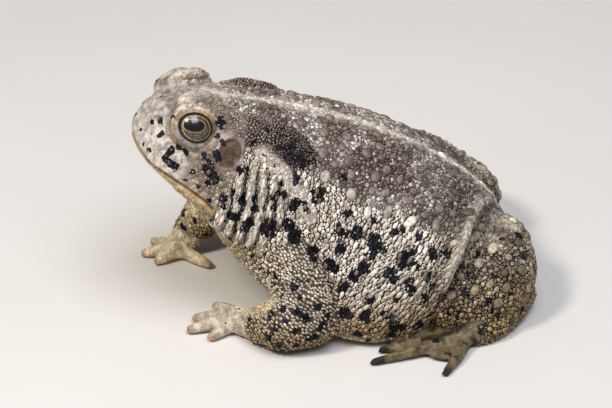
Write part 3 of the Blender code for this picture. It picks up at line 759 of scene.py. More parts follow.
on_trunk = 1 - np.clip(on_arm + on_thigh + on_shank + on_hand + on_foot + on_tarsus, 0, 1)
on_head = on_trunk * smooth_step(along + 0.3 * np.maximum(above - 10, 0), 21.0, 18.5)
neck = on_trunk * smooth_step(along, 18.5, 21.0) * smooth_step(along, 36.0, 30.0)
neck *= smooth_step(above, 12.0, 9.0) * smooth_step(gland_gap, 0.0, 1.5)
neck *= smooth_step(above + 5.0 * (skin_noise(3.0, 51) - 0.5), -9.0, -5.0)
print("the head takes", round(float(on_head.mean()) * 100), "percent of the points")

# %% Raise the folds and the small forms of the head
warp = skin_noise(5.0, 3)
lift = 0.35 * (skin_noise(6.0, 5) - 0.5) * (1 - on_head) * (1 - on_digit)
lift += 0.14 * (skin_noise(1.6, 9) - 0.5) * (1 - 0.7 * on_head)
neck_crest = np.cos(2 * np.pi * (along + 0.30 * above + 2.2 * warp) / NECK_FOLD)
lift += neck * NECK_LIFT * (2 * smooth_step(neck_crest, -1.0, 0.3) - 1)
arm_crest = np.zeros(len(along))
for sign in arms:
    for name in ("upper", "fore"):
        first, last = (np.array(arms[sign][name][k][:3]) for k in (0, -1))
        row = (skin_points - first) @ (last - first) / np.linalg.norm(last - first) + 1.6 * warp
        arm_crest += on_limb(sign, name) * np.cos(2 * np.pi * row / ARM_FOLD)
arm_crest = np.clip(arm_crest, -1, 1)
lift += ARM_LIFT * on_arm * arm_crest
lift += GLAND_LIFT * smooth_step(gland_gap, 0.9, -0.1) * on_trunk
lift -= TOE_SLIM * smooth_step(toe_gap, 1.2, 0.3) * smooth_step(toe_share, 0.1, 0.35) * smooth_step(
    skin_normals[:, 2], -0.4, 0.1)
below_eye = smooth_step(eye_height, 0.3, -0.8)
lift += LID_LIFT * bump(eye_share - 1.28, 0.16) * below_eye
lift += crease_lift
lift += HIP_LIFT * bump(np.maximum(hip_gap, 0), 0.9) + STREAK_LIFT * bump(np.maximum(streak_gap, 0), 1.0)
drum_lift = DRUM_RIM * bump(eardrum_share - 1.08, 0.16) - DRUM_SINK * smooth_step(eardrum_share, 1.05, 0.75)
lift += np.where(eardrum_share < 2, drum_lift, 0)
lift += -NOSTRIL_SINK * smooth_step(slot_share, 1.15, 0.5) + NOSTRIL_RIM * bump(slot_share - 1.9, 0.7)
lip_lift = LIP_LIFT * bump(lip_gap - 0.75, 0.5) * smooth_step(over_lip, 0.1, -0.5)
lift += (lip_lift - MOUTH_SINK * bump(lip_gap, 0.34)) * on_head
lift -= SNOUT_SLOPE * bump(np.linalg.norm(skin_points - seen([SNOUT_SEEN])[0], axis=1), SNOUT_WIDE)
lift *= smooth_step(eye_share, 1.0, 1.25)
skin_points = on_floor(skin_points + skin_normals * lift[:, None])
skin_normals = vertex_normals(skin_points)
print("folds raise the skin by", lift.min().round(2), "to", lift.max().round(2), "mm")

# %% [markdown]
# A toad's colours change with the place on its body: a brown back with pale spots between the warts,
# cream flanks, a yellowish belly, and a smooth face of pale tan. Every place gets two colours, one for
# the ground between the glands and one for the glands' crowns, and a region's weight, from 0 to 1,
# mixes its pair in. The ground is partly the skin's own darker colour and partly painted shade of the
# grooves between the glands. The weights follow from the body's own measures, bent a little by noise,
# so that no border is straight.

# %% Places of the colours
BACK_EDGE = [(236, 112), (258, 147), (304, 168), (345, 192), (400, 211), (427, 225), (452, 238), (476, 222)]
STRIPE_HALF = 1.65
LID_GRAINS = [(203, 101, 2.4), (213, 104, 2.8), (221, 114, 2.0)]
STAINS = [
    # place in the photograph's frame, radius in millimetres, colour, strength; both sides have them
    (204, 160, 3.6, "#8b7b6c", 0.75), (214, 172, 2.6, "#7f6a5c", 0.7), (223, 124, 2.0, "#66544a", 0.85),
    (232, 138, 2.6, "#7c695b", 0.7), (160, 115, 2.2, "#9b938c", 0.6), (172, 114, 1.4, "#8d8379", 0.6),
    (287, 152, 2.1, "#2a2526", 0.8), (299, 158, 1.9, "#2a2526", 0.8), (213, 96, 3.2, "#a08e80", 0.5),
    (246, 102, 2.0, "#5d5046", 0.7), (268, 106, 2.0, "#564a41", 0.8), (264, 128, 1.2, "#2f2b2c", 0.6),
    # the pale patches on this line and the next lie on the top of the haunch's lobe and make it lighter
    # there
    (507, 221, 3.4, "#c9bea9", 0.8), (515, 226, 2.4, "#c9bea9", 0.7), (496, 222, 2.0, "#c4b9a4", 0.7),
    (493, 238, 1.9, "#c4b9a4", 0.75), (495, 247, 1.8, "#c4b9a4", 0.7), (505, 231, 1.5, "#2b2620", 0.6),
    (209, 112, 1.6, "#b89c74", 0.6),
    (185, 90, 3.0, "#9b9190", 0.6), (150, 108, 3.5, "#a7a1a0", 0.5),
]
STAIN_CROWN = 1.25              # how much lighter than the stain its crowns are


def linear(code):
    """An sRGB hex code as linear red, green and blue."""
    share = np.array([int(code[k:k + 2], 16) for k in (1, 3, 5)]) / 255
    return np.where(share <= 0.04045, share / 12.92, ((share + 0.055) / 1.055) ** 2.4)


def both_sides(x, y):
    """Where the ray through a place meets the skin, and the same point mirrored."""
    spot = seen([(x, y)])[0]
    return spot, spot * (-1, 1, 1)


print(len(STAINS), "stains and", len(LID_GRAINS), "patches of grains on each lid")

# %% Weights of the regions
edge_at = to_body(seen(BACK_EDGE))
edge_at = edge_at[np.argsort(edge_at[:, 0])]
wander = skin_noise(7.0, 21) - 0.5
over_edge = above - np.interp(along, edge_at[:, 0], edge_at[:, 2]) + 8.0 * wander
facing_down = smooth_step(skin_normals[:, 2], -0.2, -0.75)
rough = skin_noise(3.0, 33) - 0.5
height = skin_points[:, 2] + 6.0 * wander

back = on_trunk * smooth_step(over_edge, -2.6, 3.4) * smooth_step(along, 15.5, 18.5)
# low: darker towards the floor, painted shade of the lower flank and haunch
low = smooth_step(height, 19.0, 4.0)
gland = smooth_step(gland_gap, 1.1, 0.2) * on_trunk
# painted shade: the forearm darker near the floor
shaded_low_forearm = np.max([on_limb(sign, "fore") * smooth_step(height, 12.0, 4.0) for sign in arms], axis=0)
head_top = on_head * smooth_step(above + 3.0 * wander, 10.0, 13.5) * smooth_step(eye_share, 1.4, 2.0)
digit_tip = smooth_step(np.where(finger_gap < toe_gap, finger_share, 0), 0.86, 1.0) * (finger_gap < 1.0)
toe_tip = smooth_step(np.where(toe_gap < finger_gap, toe_share, 0), 0.84, 0.97) * (toe_gap < 1.0)
stripe = bump(side + 0.6 * wander, STRIPE_HALF) * smooth_step(along, 3.0, 7.0)
stripe *= smooth_step(along, 99.0, 92.0)
stripe *= smooth_step(above, 6.0, 9.0)
eyelid = np.zeros(len(along))
for x, y, radius in LID_GRAINS:
    for middle in both_sides(x, y):
        away = np.linalg.norm(skin_points - middle, axis=1) + 2.0 * rough
        eyelid = np.maximum(eyelid, bump(away, radius))
eyelid *= on_head * smooth_step(eye_share, 1.35, 1.6)
nape = on_head * smooth_step(along, 13.0, 16.5) * smooth_step(above, 12.5, 15.0)
nape *= smooth_step(eye_share, 1.9, 2.4)
scratch = on_head * bump(skin_noise(2.4, 91) - 0.5, 0.035) * smooth_step(eye_share, 1.7, 2.1)
scratch *= smooth_step(skin_noise(6.0, 97), 0.42, 0.58) * smooth_step(lip_gap, 1.0, 2.5)
patchy = skin_noise(6.5, 57)
back_dark = smooth_step(patchy, 0.56, 0.44)
haunch = np.max([on_thigh, on_shank, on_tarsus * (1 - on_foot)], axis=0)
# the inner side of the arms: its own pale yellow, painted lighter still as painted light where the far arm
# lies in shade
inner_arm_with_painted_light = on_arm * smooth_step(skin_normals[:, 0] * np.sign(side), 0.35, -0.15)
mottle = skin_noise(2.2, 87)
mottled = smooth_step(mottle, 0.44, 0.60)
drum = smooth_step(eardrum_share, 1.1, 0.95)
cheek = on_head * smooth_step(along, 10.0, 13.5) * smooth_step(above, 10.5, 8.0)
cheek *= smooth_step(lip_gap, 1.2, 2.2)
cheek *= smooth_step(eye_share, 1.9, 2.2)
rear_gland = gland * smooth_step(along + 5.0 * (mottle - 0.5), 23.5, 26.5)
print("the back takes", round(float(back.mean()) * 100), "percent of the points")

# %% Mix the regions
REGIONS = [
    # weight, ground between the glands (with painted shade of the grooves), crowns of the glands where they
    # differ from the ground
    (np.ones(len(along)), "#483e34", "#f4ecdf"),
    (on_trunk * smooth_step(above, -3.0, -7.0) * smooth_step(along, 40.0, 32.0), "#4d3f2a", "#d3c29c"),
    # painted shade: the trunk darker towards the floor
    (on_trunk * low, "#392b19", "#b1986b"),
    (on_trunk * facing_down * smooth_step(skin_points[:, 2], 12.0, 4.0), "#bfae88", "#d0bf98"),
    (neck * smooth_step(neck_crest, -0.3, 0.5), "#d8cfc0", "#f2eadd"),
    # the troughs between the neck's folds: partly dark skin, partly painted shade in the hollows
    (neck * smooth_step(neck_crest, -0.1, -0.8), "#2f2820", "#8f8373"),
    (back, "#7b7470", "#b2a9a2"),
    (back * back_dark, "#3f3731", "#91877f"),
    # painted shade: the back darker towards the rump
    (back * smooth_step(along, 56.0, 76.0), "#453d37", "#82786f"),
    # the haunch's near-black ground: partly its own dark colour, partly painted shade of the low rear
    (haunch, "#16110d", "#7d7263"),
    (haunch * smooth_step(patchy, 0.54, 0.64), "#1d1813", "#aa9e8b"),
    # painted shade: the haunch darker towards the floor
    (haunch * low, "#2a2114", "#98835c"),
    (on_arm, "#55493b", "#e0d5c2"),
    # pale yellow inner arm, with painted light on top of its own colour
    (inner_arm_with_painted_light, "#d8c298", "#f4e4c0"),
    # painted shade on the lower forearm
    (shaded_low_forearm, "#56452c", "#bea77b"),
    # painted shade: the flank darker towards the rear
    (on_trunk * smooth_step(along + 16.0 * wander, 60.0, 76.0) * (1 - back) * (1 - low),
     "#2a2119", "#9d8f7b"),
    (0.9 * smooth_step(hip_gap, 0.9, 0.0) * on_trunk * smooth_step(height, 12.0, 22.0),
     "#cdc3b3", "#ddd3c3"),
    (gland, "#2b211c", "#a4948a"),
    (rear_gland, "#171211", "#82736a"),
    (0.9 * smooth_step(streak_gap, 1.0, 0.0) * on_trunk, "#ddd4c6", "#ece4d7"),
    (on_head, "#d8d0c6", "#dcd4c8"),
    (0.8 * on_head * smooth_step(along, 7.0, 11.0) * smooth_step(above, 12.0, 9.0), "#ab9c86"),
    (0.6 * cheek, "#7d6f63", "#c3b3a0"),
    (0.8 * scratch, "#746a66"),
    (head_top, "#b3a89e"),
    (0.75 * head_top * mottled, "#6a6059"),
    (nape, "#4a403a", "#bbb0a4"),
    (on_head * smooth_step(crest_gap, 1.0, 0.0), "#e0d5c3"),
    (on_head * facing_down, "#cbbd9f"),
    (eyelid, "#241813", "#b9a695"),
    (on_head * smooth_step(lip_gap, 2.2, 1.4) * smooth_step(over_lip, 0.1, -0.3), "#d3b686"),
    (0.6 * on_head * smooth_step(lip_gap, 1.1, 0.4) * smooth_step(over_lip, -0.1, 0.3), "#cbb083"),
    (on_head * bump(lip_gap, 0.36), "#54341a"),
    (0.85 * smooth_step(eye_share, 1.34, 1.26), "#b09c7f"),
    (0.9 * bump(eye_share - 1.20, 0.13) * smooth_step(eye_height, -0.8, -2.2), "#7f858f"),
    (bump(eye_share - 1.44, 0.17) * below_eye, "#a08a68"),
    (0.8 * bump(eye_share - 1.66, 0.05) * below_eye, "#6b4c2c"),
    (bump(eye_share - 1.16, 0.08) * (1 - below_eye), "#a58c63"),
    # painted shade: the skin tucked behind the ball inside the opening is painted dark
    (smooth_step(eye_share, 1.10, 1.05), "#2d231a"),
    (drum, "#6b5746"),
    (0.7 * drum * mottled, "#45332a"),
    (on_hand, "#d0c5b0", "#d6ccb8"),
    # painted light: the far hand painted lighter where the head shades it
    (on_hand * smooth_step(side, 0.0, -4.0), "#ebdab6"),
    (on_foot, "#776849", "#877657"),
    (0.85 * on_foot * smooth_step(skin_noise(2.8, 63), 0.55, 0.62), "#211d18"),
    (0.6 * digit_tip, "#b5825e"),
    (0.9 * toe_tip, "#2a2624"),
    # painted shade in the creases' hollows
    (0.8 * creased, "#2a221b", "#8a7b68"),
    (np.sqrt(stripe) * (1 - on_head * 0.3), "#efe8da", "#f6f0e4"),
]

ground = np.zeros((len(along), 3))
crown = np.zeros((len(along), 3))
for weight, *codes in REGIONS:
    share = np.clip(weight, 0, 1)[:, None]
    ground = ground * (1 - share) + linear(codes[0]) * share
    crown = crown * (1 - share) + linear(codes[-1]) * share
for x, y, radius, code, strength in STAINS:
    for middle in both_sides(x, y):
        away = np.linalg.norm(skin_points - middle, axis=1) + 1.5 * rough
        share = strength * bump(away, radius)[:, None]
        ground = ground * (1 - share) + linear(code) * share
        crown = crown * (1 - share) + linear(code) * STAIN_CROWN * share
print(len(REGIONS), "regions mixed")

# %% [markdown]
# The blue-black blotches are what names this toad at a glance. Each is a place in the photograph's
# frame and a radius in millimetres on the skin. The fields of neighbouring spots add up, so close spots
# flow into one blotch of an uneven outline. The far side carries the same blotches mirrored, each
# shifted a little, and places that the photograph hides get a few of their own. The nostril's slot is
# inked in the same field, as painted shade in its hole.

# %% Places of the blotches
BLOTCHES = [
    (138.9, 129.7, .7), (158.3, 117, 1.0), (171, 117, .8), (152.5, 133, .7), (160.8, 135.5, .8),
    (143.6, 143.8, .7), (149, 149.9, .7), (178.7, 147, 1.05), (185.7, 153.3, 1.05), (170.4, 151.4, 1.05),
    (165.9, 157.8, 1.05), (169.1, 162.9, 1.05), (175.5, 166.7, 1.05), (191.4, 173.1, .8),
    (202.9, 169.3, 1.1), (209.3, 168, 1.2), (211.8, 177, 1.4), (209.3, 182, 1.2), (218.2, 180.8, 1.2),
    (214.4, 154, 1.2), (204.2, 156.5, 1.0), (224.6, 143.8, .8), (218.8, 136.8, .9), (220.8, 123.4, 1.3),
    (185, 180.8, .6), (199, 187.1, .8), (209.3, 200.5, .7), (222, 198.6, 1.1), (224.6, 206.3, 1.0),
    (233.5, 191, .9), (241.8, 198.6, 1.4), (232.9, 215.2, 1.3), (234.8, 229, .6), (247.6, 222.9, 1.6),
    (255, 207.6, 1.1), (255.2, 197.3, 1.0), (270.5, 230.5, 2.2), (269.2, 224, 1.5), (275, 207.6, 1.2),
    (273, 197.3, 1.1), (272.4, 164.2, .7), (275, 174.4, .9), (280.7, 182, 1.2), (284.5, 194.8, 1.2),
    (242.4, 169.3, 1.2), (255.5, 142, 1.0), (264.1, 152.7, .8), (268, 130, .9), (166, 96, .5),
    (157, 137, .45), (283, 147, 1.0), (289, 151, .9), (296, 157, 1.0), (302, 163, 1.0), (292, 145, .8),
    (210.5, 163, .9), (217, 160, .8), (297.3, 179.5, 1.5), (287, 222.9, 1.3), (297.3, 202.4, 1.4),
    (292.2, 208.8, 1.0), (308.8, 210, 1.0), (305, 202.4, .9), (317.7, 196, 1.7), (294.7, 233, 1.4),
    (342.9, 178.8, 1.2), (316.8, 194.9, 1.6), (346.7, 214, 1.3), (357.4, 231.6, 1.3), (372.7, 221.6, 1.3),
    (375, 241.5, 2.0), (370.4, 254.5, 1.6), (382.7, 250.7, 1.0), (363.5, 268.3, 1.4), (354.3, 275.2, 1.4),
    (412.5, 216.3, 1.0), (394.9, 232.4, 1.3), (404, 228.5, 1.0), (418.6, 237.7, 1.1), (404, 259.9, 2.2),
    (413.3, 249.2, 1.0), (432.4, 253.8, 1.7), (446.2, 252.3, 1.4), (417, 266, 1.1), (427, 275.2, 1.2),
    (390.3, 273.7, 1.6), (394.9, 281.3, 1.3), (340.6, 250.7, 1.0), (338, 230, 1.5), (344.4, 237, 1.3),
    (306.9, 211, 1.0), (311.5, 252.3, 1.1), (313.8, 258.4, 1.2), (330.6, 266, 1.6), (343.6, 286, 1.2),
    (458.4, 250, 1.0), (446.9, 269, .9), (457.7, 275.2, 1.3), (496, 255.3, .9), (344.4, 287.5, 1.2),
    (354.3, 297.4, .7), (370.4, 301.2, 1.3), (365.8, 316.5, 1.6), (345.9, 313.5, 1.7),
    (356.6, 333.4, 1.2), (368.9, 339.5, 1.1), (385.7, 315, 1.5), (393.4, 327.3, 1.4), (391.8, 334.9, 1.1),
    (402.6, 325, 1.1), (398, 299.7, 1.0), (409.4, 284.4, 1.3), (414, 292.8, 1.2), (425.5, 296.6, 1.1),
    (424, 304.3, 1.0), (433.2, 285.9, .9), (417.1, 325.7, 1.5), (411.7, 315, .7), (428.6, 315, .8),
    (450.8, 293.6, 1.2), (464.5, 292.8, 1.2), (450, 310.4, 1.1), (460.7, 315, 1.2), (457.7, 327.3, 1.0),
    (492.9, 310.4, .9), (435.5, 339.5, 1.0), (460.7, 342.6, .8), (447.7, 353.3, .9), (422.5, 339.5, .8),
    (482, 327.3, 1.2), (287.9, 225.9, 1.2), (294.5, 233.9, 1.4), (296.7, 240.5, 1.1), (310.6, 249.3, 1.2),
    (329, 261, 1.2), (333.4, 268.4, 1.3), (340.7, 249.3, 1.2), (356.8, 232.5, 1.3), (353.2, 275.7, 1.3),
    (342.9, 288.2, 1.3), (252, 256, 1.0), (243.9, 247.1, .9), (268.8, 270.6, 1.1), (275.4, 275.7, 1.0),
    (258.6, 268.4, .8), (227.7, 236.1, .9), (265.9, 253.7, .7), (294.5, 287.5, 1.1), (318.7, 306.6, 1.0),
    (298.2, 311.7, 1.1), (307, 318.3, 1.3), (327.5, 315.4, 1.4), (321.6, 326.4, 1.5), (276.2, 327.8, 1.0),
    (295.2, 330.8, 1.2), (311.4, 337.4, 1.6), (269.6, 336.6, 1.1), (279.1, 346.2, 1.0),
    (296.7, 344.7, 1.0), (461, 266, .9), (469, 275, .9), (496, 254, .8), (495, 276, 1.0), (509, 296, 1.0),
    (521, 310, .9), (471, 298.5, .8), (487.6, 301, .9), (499, 315, .9), (511.5, 256.5, .9),
    (518.5, 273, .9), (478, 256, .9), (485, 268, .8), (517, 234, .8), (501.6, 239.6, .7),
    (524, 256.5, .7), (263, 300, .8), (270, 315, .8), (283, 310, .8), (262, 329, .7), (287, 322, .8),
    (273, 283, .7), (259, 280, .7), (301, 297, .8), (249.7, 321.2, .8), (227, 323.7, .5),
    (220.4, 305, .4), (236.5, 309.5, .5),
]
BLOTCH_GROWTH = 0.98
FAR_SHIFT = 1.0                 # how far the far side's spots stray from their mirror places
FAR_REACH = 3.5                 # spots that end further than this from the skin are dropped
HIDDEN_SPOTS = 70               # how many are drawn where the photograph shows nothing
BLOTCH_WANDER, FACE_WANDER = 1.9, 1.1    # how far noise moves the blotches' edges
FACE_MARK_MOST = 0.72           # leaves pale specks within the face's blotches
# how strongly the nostril's hole is inked, as painted shade
NOSTRIL_PAINTED_SHADE = 3.0
print(len(BLOTCHES), "spots are seen in the photograph")

# %% Field of the blotches
draws = np.random.default_rng(7)


def blotch_field(points, spots):
    """The sum over the spots of a half to the fifth power of the distance in radii: a lone spot's
    edge, where the sum is a half, lies one radius from its middle."""
    total = np.zeros(len(points))
    for x, y, z, radius in spots:
        near = np.abs(points[:, 1] - y) < 3 * radius
        apart = np.linalg.norm(points[near] - (x, y, z), axis=1) / radius
        total[near] += 0.5 ** (apart ** 5)
    return total


def shifts(size, seeds):
    """Noise from -0.5 to 0.5 along each axis, a seed for each."""
    return np.stack([skin_noise(size, seed) - 0.5 for seed in seeds], axis=1)


def search_tree(points):
    """A tree that finds the nearest of a list of points."""
    tree = KDTree(len(points))
    for index, point in enumerate(points):
        tree.insert(point, index)
    tree.balance()
    return tree


places = np.array(BLOTCHES)
spots = np.column_stack([seen(places[:, :2]), places[:, 2]])
spots = spots[~np.isnan(spots[:, 0])]
spots[:, 3] *= BLOTCH_GROWTH
far = spots * (-1, 1, 1, 1)
far[:, :3] += draws.normal(0, FAR_SHIFT, (len(far), 3))
far[:, 3] *= draws.uniform(0.8, 1.15, len(far))
tree = search_tree(skin_points.tolist())
nearest = [(*tree.find(spot[:3]), spot[3]) for spot in far]
far = np.array([(*point, radius) for point, _, gap, radius in nearest if gap < FAR_REACH])
# places that the photograph hides: the middle of the breast and the far arm
hidden = np.flatnonzero((np.abs(side) < 9) & (on_trunk > 0.5) & (on_head < 0.5) & (above < 0)
                        & (skin_points[:, 1] < 34))
hidden = np.concatenate([hidden, np.flatnonzero((side < 0) & (on_arm > 0.5))])
own = draws.choice(hidden, HIDDEN_SPOTS)
own = np.column_stack([skin_points[own], draws.uniform(0.5, 1.2, HIDDEN_SPOTS)])
spots = np.concatenate([spots, far, own])
spread = skin_points + BLOTCH_WANDER * shifts(1.8, (41, 42, 43))
spread += FACE_WANDER * on_head[:, None] * shifts(0.8, (44, 45, 46))
mark = blotch_field(spread, spots)
mark += 0.30 * neck * smooth_step(neck_crest, 0.1, -0.7) * smooth_step(skin_noise(5.0, 71), 0.45, 0.58)
mark = np.where(on_head > 0.5, np.minimum(mark, FACE_MARK_MOST), mark)
# painted shade: the nostril's hole is inked as dark as a blotch
mark = np.maximum(mark, NOSTRIL_PAINTED_SHADE * smooth_step(slot_share, 1.4, 0.2))
covered = round(float((mark > 0.5).mean()) * 100, 1)
print(len(spots), "spots, blotches cover", covered, "percent of the points")

# %% [markdown]
# What makes a toad look like a toad is its skin of glands: round warts on the back, and between them
# and down the flanks a close carpet of small beads. Bump mapping can't make them, because they stand
# out at the edge and shade each other. So each gland is a small closed dome of a few dozen faces, sunk
# a little into the skin. Darts are thrown at the skin from a fixed seed, large glands first, and a dart
# stays only where it has room.

# %% Throw the darts
fold_line = np.maximum(smooth_step(hip_gap, 0.9, 0.0), smooth_step(streak_gap, 0.8, 0.0))
bare = on_head * (1 - eyelid) * (1 - gland) * (1 - nape) * (1 - 0.8 * cheek) + on_digit
bare += smooth_step(eardrum_share, 1.6, 1.3)
bare += (facing_down * smooth_step(skin_points[:, 2], 4.0, 2.0) + (eye_share < 1.4) + 0.9 * fold_line
         + 0.5 * creased + 0.6 * stripe)
bare = np.clip(bare, 0, 1)
warts_on = back * (1 - fold_line) * (1 - bump(side, 2.4)) * smooth_step(gland_gap, 0.8, 2.6)
warts_on *= smooth_step(along, 19.0, 23.0)
beads_on = (1 - on_arm) ** 3 * (1 - on_hand) * (1 - on_foot) * (1 - eyelid) * (1 - bump(side, 1.6))
beads_on *= 1 - gland
beads_on *= 1 - neck * smooth_step(neck_crest, 0.6, 0.1)
GLANDS = [
    # darts, least and greatest radius, room as a share of both radii, where they grow
    (6000, 0.95, 1.50, 1.40, warts_on + 0.35 * haunch * smooth_step(height, 9.0, 14.0)),
    (60000, 0.40, 0.72, 1.00, beads_on * (1 - 0.4 * neck)),
    (340000, 0.21, 0.36, 0.85, (1 - on_hand * 0.8) * (1 - 0.9 * neck)
     * (1 - 0.96 * on_arm * smooth_step(arm_crest, 0.35, -0.25))),
]


def sampled(values, corners, shares):
    """Values of the skin's points read inside its triangles."""
    return (values[corners] * (shares if values.ndim == 1 else shares[..., None])).sum(axis=1)


def darts(count, weight):
    """Places on the skin, drawn by area and weight: each is a triangle's corners and their shares."""
    a, b, c = (skin_points[skin_triangles[:, k]] for k in range(3))
    area = np.linalg.norm(np.cross(b - a, c - a), axis=1) * weight[skin_triangles].mean(axis=1)
    chosen = draws.choice(len(area), count, p=area / area.sum())
    u, v = draws.random((2, count))
    u, v = np.where(u + v > 1, 1 - u, u), np.where(u + v > 1, 1 - v, v)
    return skin_triangles[chosen], np.stack([1 - u - v, u, v], axis=1)


def with_room(places, radii, room, stand, stand_radii):
    """Which darts stay: those that are room times both radii away from all glands that stand already
    and from all darts kept before them."""
    tree = search_tree(stand)
    widest = max(stand_radii, default=0.0)
    cell = 2 * max(radii) * room
    cells, kept = {}, []
    around = list(np.ndindex(3, 3, 3))
    for index, (place, radius) in enumerate(zip(places, radii)):
        if any(gap < (radius + stand_radii[other]) * room
               for _, other, gap in tree.find_range(place, (radius + widest) * room)):
            continue
        x, y, z = place
        i, j, k = int(x // cell) - 1, int(y // cell) - 1, int(z // cell) - 1
        if any((x - ox) ** 2 + (y - oy) ** 2 + (z - oz) ** 2 < ((radius + other) * room) ** 2
               for di, dj, dk in around for ox, oy, oz, other in cells.get((i + di, j + dj, k + dk), ())):
            continue
        cells.setdefault((i + 1, j + 1, k + 1), []).append((x, y, z, radius))
        kept.append(index)
    return kept


small_on = 1 + 0.40 * on_arm + 0.10 * gland - 0.35 * on_hand - 0.3 * on_foot - 0.15 * eyelid
roots, corners, shares, sizes, kinds = [], [], [], [], []
for kind, (count, least, most, room, weight) in enumerate(GLANDS):
    at, share = darts(count, weight * (1 - bare))
    size = draws.uniform(least, most, count) * sampled(small_on, at, share)
    place = sampled(skin_points, at, share)
    kept = with_room(place.tolist(), size.tolist(), room, roots, sizes)
    roots += place[kept].tolist()
    sizes += size[kept].tolist()
    corners.append(at[kept])
    shares.append(share[kept])
    kinds.append(np.full(len(kept), kind))
    print(len(kept), "glands of", least, "to", most, "mm")
roots, sizes = np.array(roots), np.array(sizes)
corners, shares, kinds = (np.concatenate(parts) for parts in (corners, shares, kinds))

# %% [markdown]
# Every gland takes its colours from the skin under it. On the back the crowns also differ from one
# another: dark, brown or pale. About half of the larger glands have a small red-brown dot where the
# gland opens. Those that stand in a blotch are blue-black with it, apart from a share of each kind
# that is spared. On the flanks the glands are drawn out along the skin's slack, up and back, and in the
# neck along its folds.

# %% Colour and shape of each gland
BACK_CROWNS = ("#615249", "#918378", "#e8e1d6")
WART_CROWN, SPARED_CROWN = "#88756b", "#7b6e66"
BACK_OWN = 0.8                  # the share of a back crown that is its own colour
SPARED = np.array([0.7, 0.22, 0.14])    # the share of each kind that the blotches spare
TIPPED = np.array([0.4, 0.6, 0.14])     # the share of each kind that has a red-brown dot
DOMES = [(10, 3, 0.50), (8, 3, 0.62), (6, 2, 0.72)]    # segments, rings, height in radii
DOME_SINK = 0.35

at_root = {name: sampled(field, corners, shares) for name, field in {
    "normal": skin_normals, "ground": ground, "crown": crown, "mark": mark, "back": back, "neck": neck,
    "arm": on_arm, "haunch": haunch, "along": along, "side": side, "above": above, "trunk": on_trunk,
    "stripe": stripe, "patchy": patchy, "gland": gland}.items()}
count = len(roots)
root_normal = at_root["normal"] / np.linalg.norm(at_root["normal"], axis=1, keepdims=True)
pale_share = 0.10 + 0.60 * smooth_step(at_root["patchy"], 0.42, 0.58)
draw = draws.random(count)
pick = np.array([linear(code) for code in BACK_CROWNS])[
    np.where(draw < pale_share, 2, np.where(draw < 0.5 + pale_share / 2, 1, 0))]
pick = np.where((kinds == 0)[:, None], linear(WART_CROWN), pick)
# painted shade: the back's crowns darker towards the rump
pick *= 1 - 0.42 * smooth_step(at_root["along"], 52.0, 76.0)[:, None]
on_back = (at_root["back"] * (1 - at_root["stripe"]) * (1 - at_root["gland"]))[:, None]
gland_crown = at_root["crown"] * (1 - BACK_OWN * on_back) + pick * BACK_OWN * on_back
gland_crown *= np.clip(draws.normal(1, 0.16 + 0.18 * at_root["haunch"]), 0.5, 1.5)[:, None]
gland_mark = at_root["mark"] + draws.normal(0, 0.10, count)
spared = draws.random(count) < SPARED[kinds] * (1 - 0.7 * at_root["neck"])
stands_out = spared & (gland_mark > 0.5) & (kinds < 2)
brown = (stands_out & (at_root["haunch"] < 0.5))[:, None]
gland_crown = np.where(brown, linear(SPARED_CROWN) * draws.uniform(0.75, 1.25, (count, 1)), gland_crown)
gland_mark = np.where(spared, 0.0, gland_mark)
has_tip = (draws.random(count) < TIPPED[kinds]) | stands_out
print(int(stands_out.sum()), "glands stand out of the blotches,", int(has_tip.sum()), "have a dot")


# %% Way and stretch of each gland
def across(vectors, normals):
    """Unit vectors in the skin's plane that follow the given ones."""
    flat = vectors - (vectors * normals).sum(axis=1, keepdims=True) * normals
    return flat / np.maximum(np.linalg.norm(flat, axis=1, keepdims=True), 1e-6)


aft_lean = smooth_step(at_root["along"], 42.0, 60.0)[:, None]
flow = (1 - aft_lean) * np.array([0.0, 0.25, 0.97]) + aft_lean * np.array([0.0, 0.64, 0.77])
flow = np.where(at_root["neck"][:, None] > 0.3, body_direction(-0.30, 0, 1), flow)
flow = np.where(at_root["arm"][:, None] > 0.5, np.cross(root_normal, body_direction(0.2, 0, 0.8)), flow)
flow = across(flow + draws.normal(0, 0.10, (count, 3)), root_normal)
flank_share = at_root["trunk"] * (1 - at_root["back"]) * smooth_step(at_root["along"], 17.0, 24.0)
flank_share *= smooth_step(at_root["above"], -12.0, -4.0)
stretch = (0.18 + 0.32 * aft_lean[:, 0]) * flank_share + 0.25 * at_root["arm"]
stretch += draws.uniform(-0.08, 0.22, count)
stretch += at_root["neck"] * np.where(kinds == 1, 0.9, 0.4)
print("glands are stretched by", stretch.min().round(2), "to", stretch.max().round(2))


# %% Domes
def dome(segments, rings):
    """A dome of unit radius and height: rings of points at even angles from the top to the sunk rim."""
    turn = np.arange(segments) / segments * 2 * math.pi
    tilt = np.arange(1, rings + 1) / rings * math.pi / 2
    points = [(0.0, 0.0, 1.0)]
    for k, angle in enumerate(tilt):
        sink = -DOME_SINK if k == rings - 1 else math.cos(angle)
        phase = turn + (k % 2) * math.pi / segments
        points += np.stack([np.cos(phase) * math.sin(angle), np.sin(phase) * math.sin(angle),
                            np.full(segments, sink)], axis=1).tolist()
    faces = [(0, 1 + j, 1 + (j + 1) % segments) for j in range(segments)]
    for k in range(rings - 1):
        upper, lower, odd = 1 + k * segments, 1 + (k + 1) * segments, k % 2
        for j in range(segments):
            after = (j + 1) % segments
            faces += [(upper + j, lower + (j if not odd else after), upper + after),
                      (lower + j, lower + after, upper + (after if not odd else j))]
    rim = 1 + (rings - 1) * segments
    faces += [(rim, rim + j + 1, rim + j) for j in range(1, segments - 1)]
    return np.array(points), np.array(faces)


